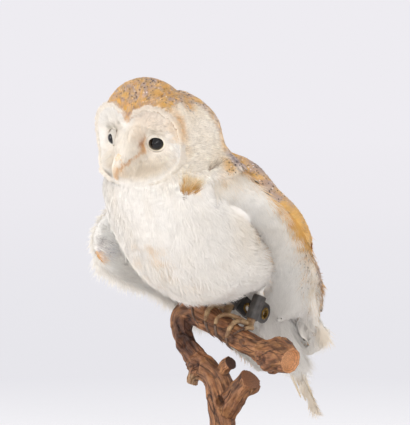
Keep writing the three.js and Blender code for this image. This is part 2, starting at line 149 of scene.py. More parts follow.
def add_node(tree: bpy.types.NodeTree, kind: str, inputs: dict | None = None, **settings) -> bpy.types.Node:
    """Adds one shader node.

    Args:
        tree: the material's or world's nodes.
        kind: the node's type, without the ShaderNode in front.
        inputs: input name or number to a constant, or to another node's output to link.
        settings: the node's own properties.

    Returns:
        The new node.
    """
    node = tree.nodes.new("ShaderNode" + kind)
    for name, value in settings.items():
        setattr(node, name, value)
    for key, value in (inputs or {}).items():
        if isinstance(value, bpy.types.NodeSocket):
            tree.links.new(value, node.inputs[key])
        else:
            node.inputs[key].default_value = value
    return node


def ramp(tree: bpy.types.NodeTree, factor: bpy.types.NodeSocket, stops: list[tuple[float, object]]):
    """A colour ramp through stops of (place, hex colour or grey level); returns its colour output."""
    node = add_node(tree, "ValToRGB", {"Fac": factor})
    band = node.color_ramp.elements
    while len(band) < len(stops):
        band.new(0.5)
    for element, (place, colour) in zip(band, stops):
        element.position = place
        rgb = linear(colour) if isinstance(colour, str) else (colour,) * 3
        element.color = (*rgb, 1)
    return node.outputs["Color"]


def blend_colours(tree: bpy.types.NodeTree, factor, first, second, how: str = "MIX"):
    """Mixes two colours by a factor; each is a socket, a number or a linear colour."""
    node = add_node(tree, "Mix", data_type="RGBA", blend_type=how)
    for key, value in ((0, factor), (6, first), (7, second)):
        if isinstance(value, bpy.types.NodeSocket):
            tree.links.new(value, node.inputs[key])
        elif key == 0:
            node.inputs[0].default_value = value
        else:
            node.inputs[key].default_value = (*value, 1)
    return node.outputs[2]


def maths(tree: bpy.types.NodeTree, how: str, *values):
    """A Math node on sockets and numbers; returns its output."""
    node = add_node(tree, "Math", operation=how)
    for key, value in enumerate(values):
        if isinstance(value, bpy.types.NodeSocket):
            tree.links.new(value, node.inputs[key])
        else:
            node.inputs[key].default_value = value
    return node.outputs[0]


class Finish:
    """A surface finish. Subclasses draw their pattern in paint(), and material() makes it once."""

    title: str = ""

    def paint(self, tree: bpy.types.NodeTree, shader: bpy.types.Node) -> None:
        """Adds the finish's nodes and sets the shader's own sockets.

        Args:
            tree: the material's node tree.
            shader: its surface shader.
        """
        raise NotImplementedError

    def material(self) -> bpy.types.Material:
        """The finished material, made the first time that it is asked for."""
        found = bpy.data.materials.get(self.title)
        if found:
            return found
        material = bpy.data.materials.new(self.title)
        material.use_nodes = True
        tree = material.node_tree
        tree.nodes.clear()
        shader = add_node(tree, "BsdfPrincipled")
        add_node(tree, "OutputMaterial", {"Surface": shader.outputs[0]})
        self.paint(tree, shader)
        return material


def object_noise(tree: bpy.types.NodeTree, size_mm: float, stretch=(1, 1, 1), detail: float = 3, **more):
    """Noise on Object coordinates with lumps of a real size; returns the node."""
    place = add_node(tree, "TexCoord").outputs["Object"]
    mapped = add_node(tree, "Mapping", {"Vector": place, "Scale": stretch}).outputs[0]
    return add_node(tree, "TexNoise", {"Vector": mapped, "Scale": 1 / (size_mm * MM), "Detail": detail,
                                       **more})


def add_bump(tree, shader, height, depth_mm: float, strength: float = 1.0) -> None:
    """Links a height to the shader's normal as a bump of a real depth."""
    bump = add_node(tree, "Bump", {"Height": height, "Distance": depth_mm * MM, "Strength": strength})
    tree.links.new(bump.outputs[0], shader.inputs["Normal"])


@dataclass(frozen=True)
class Plumage(Finish):
    """Owl feather: matt keratin barbs, faintly silky, mottled by eye-sized clumps and tiny dots."""

    title: str = "soft_owl_feather"
    dot_mm: float = 2.8  # spacing of the dark and pale dots on crown and mantle
    clump_mm: float = 7.0
    dark_dot: str = "2E2628"
    pale_dot: str = "F4EEF0"

    def paint(self, tree: bpy.types.NodeTree, shader: bpy.types.Node) -> None:
        """Draws this finish; see Finish.paint."""
        coat = add_node(tree, "Attribute", attribute_name=COAT).outputs["Color"]
        speckle = add_node(tree, "Attribute", attribute_name=SPECKLE).outputs["Fac"]
        clump = object_noise(tree, self.clump_mm).outputs["Fac"]
        shade = ramp(tree, clump, [(0.3, 0.95), (0.7, 1.0)])
        colour = blend_colours(tree, 1.0, coat, shade, "MULTIPLY")
        place = add_node(tree, "TexCoord").outputs["Object"]
        cells = add_node(tree, "TexVoronoi", {"Vector": place, "Scale": 1 / (self.dot_mm * MM)})
        pick = add_node(tree, "SeparateColor", {"Color": cells.outputs["Color"]})
        dot = maths(tree, "LESS_THAN", cells.outputs["Distance"], 0.34)
        dark = maths(tree, "LESS_THAN", pick.outputs[0], 0.6)
        pale = maths(tree, "GREATER_THAN", pick.outputs[0], 0.88)
        for kind, tint in ((dark, self.dark_dot), (pale, self.pale_dot)):
            share = maths(tree, "MULTIPLY", maths(tree, "MULTIPLY", dot, kind), speckle)
            colour = blend_colours(tree, share, colour, tuple(linear(tint)))
        tree.links.new(colour, shader.inputs["Base Color"])
        shader.inputs["Roughness"].default_value = 0.85
        shader.inputs["Specular IOR Level"].default_value = 0.2
        shader.inputs["Sheen Weight"].default_value = 0.15
        shader.inputs["Sheen Roughness"].default_value = 0.6
        fine = object_noise(tree, 0.9, detail=2).outputs["Fac"]
        add_bump(tree, shader, fine, 0.08, 0.5)


@dataclass(frozen=True)
class FlightVane(Finish):
    """Flight feather: firm zipped barbs that catch a little light, with a pale shaft."""

    title: str = "firm_flight_feather"
    barb_mm: float = 1.1  # real barbs are about 0.6 mm apart; coarser so that they read
    shaft: str = "E6CFA4"

    def paint(self, tree: bpy.types.NodeTree, shader: bpy.types.Node) -> None:
        """Draws this finish; see Finish.paint."""
        coat = add_node(tree, "Attribute", attribute_name=COAT).outputs["Color"]
        speckle = add_node(tree, "Attribute", attribute_name=SPECKLE).outputs["Fac"]
        vane = add_node(tree, "UVMap", uv_map=VANE_MAP).outputs[0]
        parts = add_node(tree, "SeparateXYZ", {"Vector": vane})
        across = maths(tree, "ABSOLUTE", parts.outputs[0])
        slant = maths(tree, "SUBTRACT", parts.outputs[1], maths(tree, "MULTIPLY", across, 0.8))
        wave = maths(tree, "SINE", maths(tree, "MULTIPLY", slant, 2 * math.pi * 10 / self.barb_mm))
        lines = maths(tree, "MULTIPLY_ADD", wave, 0.5, 0.5)
        shade = ramp(tree, lines, [(0.0, 0.93), (1.0, 1.0)])
        colour = blend_colours(tree, 1.0, coat, shade, "MULTIPLY")
        freckle = object_noise(tree, 1.6, detail=2).outputs["Fac"]
        dots = maths(tree, "MULTIPLY", maths(tree, "GREATER_THAN", freckle, 0.56), speckle)
        colour = blend_colours(tree, maths(tree, "MULTIPLY", dots, 0.5), colour, tuple(linear("6E5A48")))
        shaft = maths(tree, "LESS_THAN", across, 0.055)
        colour = blend_colours(tree, maths(tree, "MULTIPLY", shaft, 0.8), colour, tuple(linear(self.shaft)))
        tree.links.new(colour, shader.inputs["Base Color"])
        shader.inputs["Roughness"].default_value = 0.6
        shader.inputs["Specular IOR Level"].default_value = 0.3
        ridge = maths(tree, "ADD", lines, maths(tree, "MULTIPLY", shaft, 2.0))
        add_bump(tree, shader, ridge, 0.15, 0.6)


@dataclass(frozen=True)
class GlassEye(Finish):
    """Blown glass eye: near-black brown behind a clear wet-looking cornea."""

    title: str = "black_glass_eye"

    def paint(self, tree: bpy.types.NodeTree, shader: bpy.types.Node) -> None:
        """Draws this finish; see Finish.paint."""
        cloud = object_noise(tree, 5).outputs["Fac"]
        colour = ramp(tree, cloud, [(0.3, "030304"), (0.7, "0A0908")])
        tree.links.new(colour, shader.inputs["Base Color"])
        shader.inputs["Roughness"].default_value = 0.05
        shader.inputs["Specular IOR Level"].default_value = 0.42


@dataclass(frozen=True)
class Horn(Finish):
    """Keratin horn with growth lines and a satin finish: the bill and the claws."""

    title: str = "pink_bill_horn"
    base: str = "D9A583"
    tip: str = "EBC7A6"
    grain_mm: float = 1.4
    roughness: float = 0.42

    def paint(self, tree: bpy.types.NodeTree, shader: bpy.types.Node) -> None:
        """Draws this finish; see Finish.paint."""
        grain = object_noise(tree, self.grain_mm, (1, 1, 0.35)).outputs["Fac"]
        colour = ramp(tree, grain, [(0.3, self.base), (0.7, self.tip)])
        tree.links.new(colour, shader.inputs["Base Color"])
        shader.inputs["Roughness"].default_value = self.roughness
        add_bump(tree, shader, grain, 0.12, 0.5)


@dataclass(frozen=True)
class ToeSkin(Finish):
    """Dried bird skin: buff scutes, darker along the creases between them."""

    title: str = "dry_scaly_toe_skin"

    def paint(self, tree: bpy.types.NodeTree, shader: bpy.types.Node) -> None:
        """Draws this finish; see Finish.paint."""
        coat = add_node(tree, "Attribute", attribute_name=COAT).outputs["Color"]
        patch = object_noise(tree, 4).outputs["Fac"]
        colour = blend_colours(tree, 1.0, coat, ramp(tree, patch, [(0.3, 0.78), (0.7, 1.0)]), "MULTIPLY")
        place = add_node(tree, "TexCoord").outputs["Object"]
        cells = add_node(tree, "TexVoronoi", {"Vector": place, "Scale": 1 / (1.3 * MM)},
                         feature="DISTANCE_TO_EDGE")
        edge = ramp(tree, cells.outputs["Distance"], [(0.02, 0.55), (0.16, 1.0)])
        colour = blend_colours(tree, 0.8, colour, edge, "MULTIPLY")
        tree.links.new(colour, shader.inputs["Base Color"])
        shader.inputs["Roughness"].default_value = 0.62
        add_bump(tree, shader, cells.outputs["Distance"], 0.35, 0.7)


@dataclass(frozen=True)
class Leather(Finish):
    """Greased vegetable-tanned leather: charcoal, fine pebbled grain, edges rubbed paler."""

    title: str = "charcoal_cuff_leather"
    grain_mm: float = 0.8  # real grain is about 0.4 mm; coarser so that it reads

    def paint(self, tree: bpy.types.NodeTree, shader: bpy.types.Node) -> None:
        """Draws this finish; see Finish.paint."""
        wear = object_noise(tree, 6, detail=5).outputs["Fac"]
        colour = ramp(tree, wear, [(0.3, "2E2B29"), (0.55, "3E3A37"), (0.75, "544F4A")])
        edges = add_node(tree, "NewGeometry").outputs["Pointiness"]
        rub = ramp(tree, edges, [(0.5, 0.0), (0.56, 0.45)])
        colour = blend_colours(tree, rub, colour, tuple(linear("7C756C")))
        tree.links.new(colour, shader.inputs["Base Color"])
        shader.inputs["Roughness"].default_value = 0.5
        place = add_node(tree, "TexCoord").outputs["Object"]
        grain = add_node(tree, "TexVoronoi", {"Vector": place, "Scale": 1 / (self.grain_mm * MM)})
        add_bump(tree, shader, grain.outputs["Distance"], 0.12, 0.35)


@dataclass(frozen=True)
class AgedBrass(Finish):
    """Pressed brass eyelet, brown and dull in some patches, yellow and smoother in others."""

    title: str = "aged_brass"

    def paint(self, tree: bpy.types.NodeTree, shader: bpy.types.Node) -> None:
        """Draws this finish; see Finish.paint."""
        stain = object_noise(tree, 2.5, detail=5).outputs["Fac"]
        colour = ramp(tree, stain, [(0.35, "5A4527"), (0.6, "96793F")])
        tree.links.new(colour, shader.inputs["Base Color"])
        shader.inputs["Metallic"].default_value = 1.0
        rough = ramp(tree, stain, [(0.35, 0.55), (0.65, 0.28)])
        tree.links.new(rough, shader.inputs["Roughness"])


@dataclass(frozen=True)
class VineBark(Finish):
    """Peeled and varnished old vine: long twisted fibres, black cracks, warm red-brown ridges."""

    title: str = "varnished_vine_wood"
    fibre_mm: float = 1.25
    crack_mm: float = 7.0

    def paint(self, tree: bpy.types.NodeTree, shader: bpy.types.Node) -> None:
        """Draws this finish; see Finish.paint."""
        coat = add_node(tree, "Attribute", attribute_name=COAT).outputs["Color"]
        hollow = add_node(tree, "Attribute", attribute_name=SPECKLE).outputs["Fac"]
        grain = add_node(tree, "Attribute", attribute_name=GRAIN).outputs["Vector"]
        drawn = add_node(tree, "Mapping", {"Vector": grain, "Scale": (1, 1, 0.09)}).outputs[0]
        fibre = add_node(tree, "TexNoise", {"Vector": drawn, "Scale": 1 / self.fibre_mm, "Detail": 6,
                                            "Roughness": 0.65, "Distortion": 0.5}).outputs["Fac"]
        wide = add_node(tree, "Mapping", {"Vector": grain, "Scale": (1, 1, 0.16)}).outputs[0]
        bent = add_node(tree, "TexNoise", {"Vector": wide, "Scale": 1 / self.crack_mm,
                                           "Detail": 4}).outputs["Color"]
        bent = add_node(tree, "VectorMath", {0: bent, "Scale": 5.0}, operation="SCALE").outputs[0]
        bent = add_node(tree, "VectorMath", {0: wide, 1: bent}, operation="ADD").outputs[0]
        cells = add_node(tree, "TexVoronoi", {"Vector": bent, "Scale": 1 / self.crack_mm},
                         feature="DISTANCE_TO_EDGE")
        edge = ramp(tree, cells.outputs["Distance"], [(0.0, 0.0), (0.045, 1.0)])
        where = add_node(tree, "TexNoise", {"Vector": wide, "Scale": 0.09, "Detail": 2}).outputs["Fac"]
        crack = blend_colours(tree, ramp(tree, where, [(0.4, 0.9), (0.55, 0.0)]), edge, (1.0, 1.0, 1.0))
        crack = blend_colours(tree, 1.0, edge, crack, "LIGHTEN")
        tone = ramp(tree, fibre, [(0.28, 0.2), (0.46, 0.65), (0.6, 0.95), (0.75, 1.4)])
        colour = blend_colours(tree, 1.0, coat, tone, "MULTIPLY")
        patch = object_noise(tree, 8, detail=4).outputs["Fac"]
        colour = blend_colours(tree, ramp(tree, patch, [(0.5, 0.0), (0.66, 0.5)]), colour,
                               tuple(linear("BE8857")))
        colour = blend_colours(tree, ramp(tree, patch, [(0.3, 0.45), (0.45, 0.0)]), colour,
                               tuple(linear("5A3523")))
        # Where the Speckle attribute is strong the wood is darkened: the knots' dark centres, and painted shade
        # in the crook's hollow.
        dark = blend_colours(tree, 1.0, colour, tuple(linear("7A5A48")), "MULTIPLY")
        depth = maths(tree, "SUBTRACT", 1.0, crack)
        colour = blend_colours(tree, maths(tree, "MULTIPLY", depth, 0.9), colour, tuple(linear("2A1710")))
        colour = blend_colours(tree, hollow, colour, dark)
        tree.links.new(colour, shader.inputs["Base Color"])
        rough = ramp(tree, fibre, [(0.3, 0.75), (0.7, 0.4)])
        tree.links.new(rough, shader.inputs["Roughness"])
        relief = maths(tree, "ADD", maths(tree, "MULTIPLY", fibre, 0.8), maths(tree, "MULTIPLY", crack, 0.7))
        add_bump(tree, shader, relief, 1.3, 0.9)


@dataclass(frozen=True)
class SawnWood(Finish):
    """Sawn vine end under varnish: orange heartwood with rings and fine checks from the pith."""

    title: str = "sawn_vine_end"
    ring_mm: float = 2.4

    def paint(self, tree: bpy.types.NodeTree, shader: bpy.types.Node) -> None:
        """Draws this finish; see Finish.paint."""
        coat = add_node(tree, "Attribute", attribute_name=COAT).outputs["Color"]
        grain = add_node(tree, "Attribute", attribute_name=GRAIN).outputs["Vector"]
        flat = add_node(tree, "Mapping", {"Vector": grain, "Scale": (1, 1, 0.02)}).outputs[0]
        rings = add_node(tree, "TexWave", {"Vector": flat, "Scale": 0.6 / self.ring_mm, "Distortion": 2.5,
                                           "Detail": 3},
                         wave_type="RINGS", rings_direction="Z").outputs["Fac"]
        speck = add_node(tree, "TexNoise", {"Vector": flat, "Scale": 0.9, "Detail": 5}).outputs["Fac"]
        colour = blend_colours(tree, 1.0, coat, ramp(tree, rings, [(0.0, 0.75), (1.0, 1.1)]), "MULTIPLY")
        colour = blend_colours(tree, 1.0, colour, ramp(tree, speck, [(0.3, 0.6), (0.6, 1.1)]), "MULTIPLY")
        tree.links.new(colour, shader.inputs["Base Color"])
        shader.inputs["Roughness"].default_value = 0.5
        add_bump(tree, shader, speck, 0.5, 0.7)


@dataclass(frozen=True)
class TurnedWood(Finish):
    """Turned hardwood under dark stain and wax, with fine straight grain."""

    title: str = "dark_stained_turned_wood"
    grain_mm: float = 2.2

    def paint(self, tree: bpy.types.NodeTree, shader: bpy.types.Node) -> None:
        """Draws this finish; see Finish.paint."""
        grain = object_noise(tree, self.grain_mm, (0.08, 1, 1), 6, Distortion=0.4).outputs["Fac"]
        colour = ramp(tree, grain, [(0.3, "2A170D"), (0.52, "4A2A18"), (0.72, "6A4128")])
        tree.links.new(colour, shader.inputs["Base Color"])
        shader.inputs["Roughness"].default_value = 0.34
        shader.inputs["Coat Weight"].default_value = 0.25
        shader.inputs["Coat Roughness"].default_value = 0.2
        add_bump(tree, shader, grain, 0.12, 0.3)


def seen_share(tree: bpy.types.NodeTree) -> bpy.types.NodeSocket:
    """One for rays that show a surface to the camera, straight or by way of glass, and none for lighting."""
    rays = add_node(tree, "LightPath").outputs
    return maths(tree, "MAXIMUM", rays["Is Camera Ray"],
                 maths(tree, "MAXIMUM", rays["Is Glossy Ray"], rays["Is Transmission Ray"]))


@dataclass(frozen=True)
class StudioSurface(Finish):
    """Pale paper sweep: real paper near the mount, an even pale tone beyond it."""

    title: str = "pale_paper_sweep"
    paper: str = "F7F6F9"
    top: str = "EEECF1"
    middle: str = "ECEAEF"
    bottom: str = "E7E6EB"
    near_m: float = 0.45
    far_m: float = 1.1

    def paint(self, tree: bpy.types.NodeTree, shader: bpy.types.Node) -> None:
        """Draws this finish; see Finish.paint."""
        place = add_node(tree, "TexCoord").outputs["Object"]
        away = add_node(tree, "VectorMath", {0: place}, operation="LENGTH").outputs["Value"]
        grain = object_noise(tree, 6).outputs["Fac"]
        paper = blend_colours(tree, 0.03, tuple(linear(self.paper)), ramp(tree, grain, [(0, 0.6), (1, 1.0)]))
        tree.links.new(paper, shader.inputs["Base Color"])
        shader.inputs["Roughness"].default_value = 0.9
        shader.inputs["Specular IOR Level"].default_value = 0.1
        tone = ramp(tree, maths(tree, "DIVIDE", away, 14.0),
                    [(0.0, self.bottom), (0.1, self.bottom), (0.42, self.middle), (1.0, self.top)])
        glow = add_node(tree, "Emission", {"Color": tone, "Strength": 1.0})
        seen = seen_share(tree)
        far = maths(tree, "DIVIDE", maths(tree, "SUBTRACT", away, self.near_m), self.far_m - self.near_m)
        far = add_node(tree, "Clamp", {"Value": far}).outputs[0]
        share = maths(tree, "MULTIPLY", far, seen)
        out = next(node for node in tree.nodes if node.type == "OUTPUT_MATERIAL")
        both = add_node(tree, "MixShader", {0: share, 1: shader.outputs[0], 2: glow.outputs[0]})
        tree.links.new(both.outputs[0], out.inputs["Surface"])


# ------------------------------------------------------------------ mesh helpers


def deselect() -> None:
    """Leaves nothing selected and no object in edit mode."""
    if bpy.context.object and bpy.context.object.mode != "OBJECT":
        bpy.ops.object.mode_set(mode="OBJECT")
    bpy.ops.object.select_all(action="DESELECT")


def pick(*objects: bpy.types.Object) -> None:
    """Selects only these objects and makes the first one active."""
    deselect()
    for item in objects:
        item.select_set(True)
    bpy.context.view_layer.objects.active = objects[0]


def link_mesh(name: str, mesh: bpy.types.Mesh) -> bpy.types.Object:
    """Puts a mesh in the scene as an object of that name at the origin."""
    item = bpy.data.objects.new(name, mesh)
    bpy.context.scene.collection.objects.link(item)
    return item


def mesh_of(name: str, points_mm: np.ndarray, faces: list) -> bpy.types.Object:
    """A mesh object from points in mm and faces of any number of corners."""
    mesh = bpy.data.meshes.new(name)
    mesh.from_pydata((points_mm * MM).tolist(), [], [tuple(map(int, face)) for face in faces])
    mesh.validate()
    return link_mesh(name, mesh)


def apply_modifier(item: bpy.types.Object, kind: str, **settings) -> None:
    """Adds a modifier with its settings and applies it."""
    pick(item)
    added = item.modifiers.new(kind.title(), kind)
    for key, value in settings.items():
        setattr(added, key, value)
    bpy.ops.object.modifier_apply(modifier=added.name)


def copy_node(name: str, title: str) -> bpy.types.Object:
    """A welded copy of a CAD node's mesh under a new name, at the origin."""
    item = link_mesh(title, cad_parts[name].data.copy())
    item.data.materials.clear()
    for layer in list(item.data.uv_layers):
        item.data.uv_layers.remove(layer)
    pick(item)
    bpy.ops.object.mode_set(mode="EDIT")
    bpy.ops.mesh.select_all(action="SELECT")
    bpy.ops.mesh.customdata_custom_splitnormals_clear()
    bpy.ops.mesh.remove_doubles(threshold=0.00002)
    bpy.ops.mesh.normals_make_consistent(inside=False)
    bpy.ops.object.mode_set(mode="OBJECT")
    return item


def merge_objects(items: list[bpy.types.Object]) -> bpy.types.Object:
    """Joins mesh objects into the first of them."""
    pick(*items)
    if len(items) > 1:
        bpy.ops.object.join()
    return items[0]


def remesh(item: bpy.types.Object, voxel_mm: float, smoothing: int = 0, factor: float = 0.5) -> None:
    """Makes one closed skin of everything in an object, then relaxes it."""
    apply_modifier(item, "REMESH", mode="VOXEL", voxel_size=voxel_mm * MM, use_smooth_shade=True)
    if smoothing:
        apply_modifier(item, "SMOOTH", factor=factor, iterations=smoothing)


def keep_largest(item: bpy.types.Object) -> None:
    """Drops every loose piece of a mesh except the one with the most vertices."""
    mesh = item.data
    edges = np.empty(len(mesh.edges) * 2, np.int64)
    mesh.edges.foreach_get("vertices", edges)
    edges = edges.reshape(-1, 2)
    label = np.arange(len(mesh.vertices))
    while True:
        low = np.minimum(label[edges[:, 0]], label[edges[:, 1]])
        new = label.copy()
        np.minimum.at(new, edges[:, 0], low)
        np.minimum.at(new, edges[:, 1], low)
        new = new[new]
        if np.array_equal(new, label):
            break
        label = new
    names, counts = np.unique(label, return_counts=True)
    if len(names) == 1:
        return
    drop = label != names[np.argmax(counts)]
    pick(item)
    bpy.ops.object.mode_set(mode="EDIT")
    bpy.ops.mesh.select_all(action="DESELECT")
    bpy.ops.object.mode_set(mode="OBJECT")
    mesh.vertices.foreach_set("select", drop)
    bpy.ops.object.mode_set(mode="EDIT")
    bpy.ops.mesh.delete(type="VERT")
    bpy.ops.object.mode_set(mode="OBJECT")


def grid_faces(rows: int, columns: int, first: int = 0) -> list[tuple[int, int, int, int]]:
    """Quads over a grid of points in row order."""
    return [(first + r * columns + k, first + r * columns + k + 1, first + (r + 1) * columns + k + 1,
             first + (r + 1) * columns + k)
            for r in range(rows - 1) for k in range(columns - 1)]


def slab_between(name: str, front: np.ndarray, back: np.ndarray, rows: int, columns: int) -> bpy.types.Object:
    """A closed slab between two grids of points in mm."""
    faces = grid_faces(rows, columns) + [face[::-1] for face in grid_faces(rows, columns, rows * columns)]
    rim = list(range(columns)) + [r * columns + columns - 1 for r in range(1, rows)]
    rim += list(range(rows * columns - 2, (rows - 1) * columns - 1, -1)) + [r * columns
            for r in range(rows - 2, 0, -1)]
    for here, there in zip(rim, rim[1:] + rim[:1]):
        faces.append((there, here, here + rows * columns, there + rows * columns))
    item = mesh_of(name, np.concatenate([front, back]), faces)
    point_outwards(item)
    return item


def point_outwards(item: bpy.types.Object) -> None:
    """Turns every face of a closed mesh outwards."""
    pick(item)
    bpy.ops.object.mode_set(mode="EDIT")
    bpy.ops.mesh.select_all(action="SELECT")
    bpy.ops.mesh.normals_make_consistent(inside=False)
    bpy.ops.object.mode_set(mode="OBJECT")


def points_of(mesh: bpy.types.Mesh) -> np.ndarray:
    """A mesh's vertices in mm."""
    flat = np.empty(len(mesh.vertices) * 3, np.float32)
    mesh.vertices.foreach_get("co", flat)
    return flat.reshape(-1, 3).astype(float) / MM


def normals_of(mesh: bpy.types.Mesh) -> np.ndarray:
    """A mesh's smooth vertex normals."""
    flat = np.empty(len(mesh.vertices) * 3, np.float32)
    mesh.vertex_normals.foreach_get("vector", flat)
    return flat.reshape(-1, 3).astype(float)


def move_points(mesh: bpy.types.Mesh, points_mm: np.ndarray) -> None:
    """Writes vertices given in mm back to a mesh."""
    mesh.vertices.foreach_set("co", (points_mm * MM).astype(np.float32).ravel())
    mesh.update()


def tint(mesh: bpy.types.Mesh, colour: np.ndarray, speckle: np.ndarray | None = None) -> None:
    """Stores a linear colour and a dot strength on each vertex."""
    rgba = np.ones((len(mesh.vertices), 4), np.float32)
    rgba[:, :3] = colour
    mesh.color_attributes.new(COAT, "FLOAT_COLOR", "POINT").data.foreach_set("color", rgba.ravel())
    if speckle is None:
        speckle = np.zeros(len(mesh.vertices))
    mesh.attributes.new(SPECKLE, "FLOAT", "POINT").data.foreach_set("value", speckle.astype(np.float32))


def dress(item: bpy.types.Object, finish: Finish, nodes: tuple[str, ...] = ()) -> bpy.types.Object:
    """Gives a finished piece its material and its body, and hides the CAD nodes that it stands for."""
    item.data.materials.clear()
    item.data.materials.append(finish.material())
    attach(item, BODY)
    if nodes:
        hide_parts(*nodes)
    triangles = sum(len(face.vertices) - 2 for face in item.data.polygons)
    log.info("%s: %d triangles, %s", item.name, triangles, finish.title)
    return item


# ------------------------------------------------------------------ the owl's form, as in the solids


class Side(Enum):
    """The owl's own left or right."""

    LEFT = 1
    RIGHT = -1


@dataclass(frozen=True)
class HeadForm:
    """Head sizes in mm, and its own axes: x to its left, forward out of the face, high up the crown."""

    centre: tuple[float, float, float] = (0, -108, 358)
    pitch: float = 20
    yaw: float = 8
    roll: float = 6
    half_width: float = 44.5
    face_forward: float = 33
    eye_radius: float = 7.6
    eye_spacing: float = 43
    edge: tuple = ((0, 26), (0.07, 34), (0.16, 42), (0.24, 46), (0.34, 47.5), (0.5, 46), (0.62, 47),
                   (0.7, 44),
                   (0.8, 38.5), (0.9, 35), (1, 34))
    crest: tuple = ((-42, 0), (-28, 0), (-23, 7), (-18, 13), (-12, 15.5), (-4, 15.5), (6, 13.5), (15, 11),
                    (21, 6), (27, 0))
    flank: tuple = ((-26, 6, 0.5), (-14, 10.5, 1), (-4, 15, 1.5),
                    (5, 18.5, 2.5))  # high, foot and shoulder of the ridge

    @property
    def axes(self) -> np.ndarray:
        """Columns that turn head axes (x, -forward, high) to the world."""
        turn = Matrix.Rotation(math.radians(self.yaw), 3, "Z")
        turn = turn @ Matrix.Rotation(math.radians(self.pitch), 3, "X")
        turn = turn @ Matrix.Rotation(math.radians(self.roll), 3, "Y")
        return np.array(turn)

    def to_world(self, local: np.ndarray) -> np.ndarray:
        """World points in mm from rows of (x, forward, high)."""
        return self.world_way(local) + np.array(self.centre)

    def world_way(self, local: np.ndarray) -> np.ndarray:
        """World directions from rows of (x, forward, high)."""
        return (np.asarray(local, float) * (1, -1, 1)) @ self.axes.T

    def to_local(self, points: np.ndarray) -> np.ndarray:
        """Rows of (x, forward, high) from world points in mm."""
        return ((points - np.array(self.centre)) @ self.axes) * (1, -1, 1)

    def disc_edge(self, turn: np.ndarray) -> np.ndarray:
        """Distance of the disc's rim from the bill's axis; turn is 0 at the top and pi at the chin."""
        return stations(list(self.edge), turn / math.pi)

    def rim_forward(self, x: np.ndarray, high: np.ndarray) -> np.ndarray:
        """How far forward the disc's rim lies."""
        return self.face_forward - 18 * (np.abs(x) / self.half_width) ** 1.8 - 7 * (np.abs(high) / 44) ** 2.2

    def disc_share(self, x: np.ndarray, high: np.ndarray) -> np.ndarray:
        """How far out on the disc a place is: 0 at its middle and 1 at its rim; its right lobe is pressed in."""
        return np.hypot(np.where(x < 0, x * 1.05, x), high) / self.disc_edge(np.arctan2(np.abs(x), high))

    def face_at(self, x: np.ndarray, high: np.ndarray) -> np.ndarray:
        """How far forward the finished face lies: a dish each side of the ridge, a rim, a lifted chin."""
        share = self.disc_share(x, high)
        crest = stations(list(self.crest), high)
        foot, shoulder = (np.interp(high, [row[0] for row in self.flank], [row[k] for row in self.flank])
                          for k in (1, 2))
        flank = smooth(0, 1, np.clip((foot - np.abs(x + 1.0)) / (foot - shoulder), 0, 1))
        lobe = smooth(4, -10, x)
        pit = 4.2 * lobe * np.exp(-(((x + self.eye_spacing / 2) / 8) ** 2) - ((high - 2) / 8) ** 2)
        dish = pit + 6.6 * (1 - 0.62 * lobe) * np.sin(math.pi * np.clip((share - 0.08) / 0.92, 0, 1)) * (1
                - flank * np.minimum(crest / 15, 1))
        chin = 14.5 * smooth(-12, -28, high) ** 1.3 * (0.75 + 0.25 * smooth(0, 20, np.abs(x)))
        rim = 1.6 * (1 - 0.8 * lobe) * np.exp(-(((share - 0.94) / 0.06) ** 2)) * smooth(-36, -22, high)
        return self.rim_forward(x, high) - dish + crest * flank + chin + rim

    def eye_centre(self, side: Side) -> np.ndarray:
        """World centre of an eyeball in mm."""
        x = side.value * self.eye_spacing / 2
        ratio = (0.45 - 0.08) / 0.92
        dish = 5.5 * math.sin(math.pi * ratio)
        ridge = stations([(0, 0), (0.3, 11), (0.5, 10), (0.75, 4.5), (1, 0)], np.array(46 / 70.0))
        near = math.exp(-((x / 7.5) ** 2))
        forward = float(self.rim_forward(np.array(x), np.array(2.0))) - dish + float(ridge) * near
        return self.to_world(np.array([[x, forward - self.eye_radius * 0.62, 2]]))[0]


@dataclass(frozen=True)
class WingForm:
    """A half-open wing between its leading curve and the curve of its feather tips, in mm."""

    side: Side
    leading: tuple
    trailing: tuple
    camber: float
    dorsal: int

    def at(self, share: np.ndarray, chord: np.ndarray) -> tuple[np.ndarray, np.ndarray, np.ndarray,
            np.ndarray]:
        """The wing at a share of its span and a share of its chord.

        Returns:
            Middle points, the way out of its back, half its thickness, and the whole chord as a vector.
        """
        share = np.asarray(share, float)
        chord = np.asarray(chord, float)
        edge = curve_points(list(self.leading), share)
        reach = curve_points(list(self.trailing), share) - edge
        ahead = curve_points(list(self.leading), np.minimum(share + 0.004, 1))
        behind = curve_points(list(self.leading), np.maximum(share - 0.004, 0))
        swell = unit(np.cross(ahead - behind, reach)) * self.dorsal
        arm = stations([(0, 15), (0.3, 11), (0.5, 6), (0.75, 2.5), (1, 1.2)], share)
        body = np.sqrt(np.clip(chord * 9, 0, 1)) * np.clip(1 - chord, 0, 1) ** 1.3
        half = np.maximum(0.6, arm * body)
        bulge = self.camber * np.sin(math.pi * np.clip(chord, 0, 1) ** 0.8) * np.sin(math.pi
                * np.clip(share, 0, 1))
        middle = edge + reach * chord[..., None] + swell * bulge[..., None]
        return middle, swell, half, reach

    def surface(self, share: np.ndarray, chord: np.ndarray, above: bool) -> np.ndarray:
        """Points of the wing's back (above) or underside."""
        middle, swell, half, _ = self.at(share, chord)
        return middle + swell * (half if above else -half)[..., None]

    def normal(self, share: np.ndarray, chord: np.ndarray, above: bool) -> np.ndarray:
        """The way out of the wing's back or underside."""
        step = 0.01
        along = self.surface(np.minimum(share + step, 1), chord,
                             above) - self.surface(np.maximum(share - step, 0), chord, above)
        across = self.surface(share, np.minimum(chord + step, 1), above) - self.surface(share,
                np.maximum(chord - step, 0), above)
        out = unit(np.cross(along, across)) * self.dorsal
        return out if above else -out


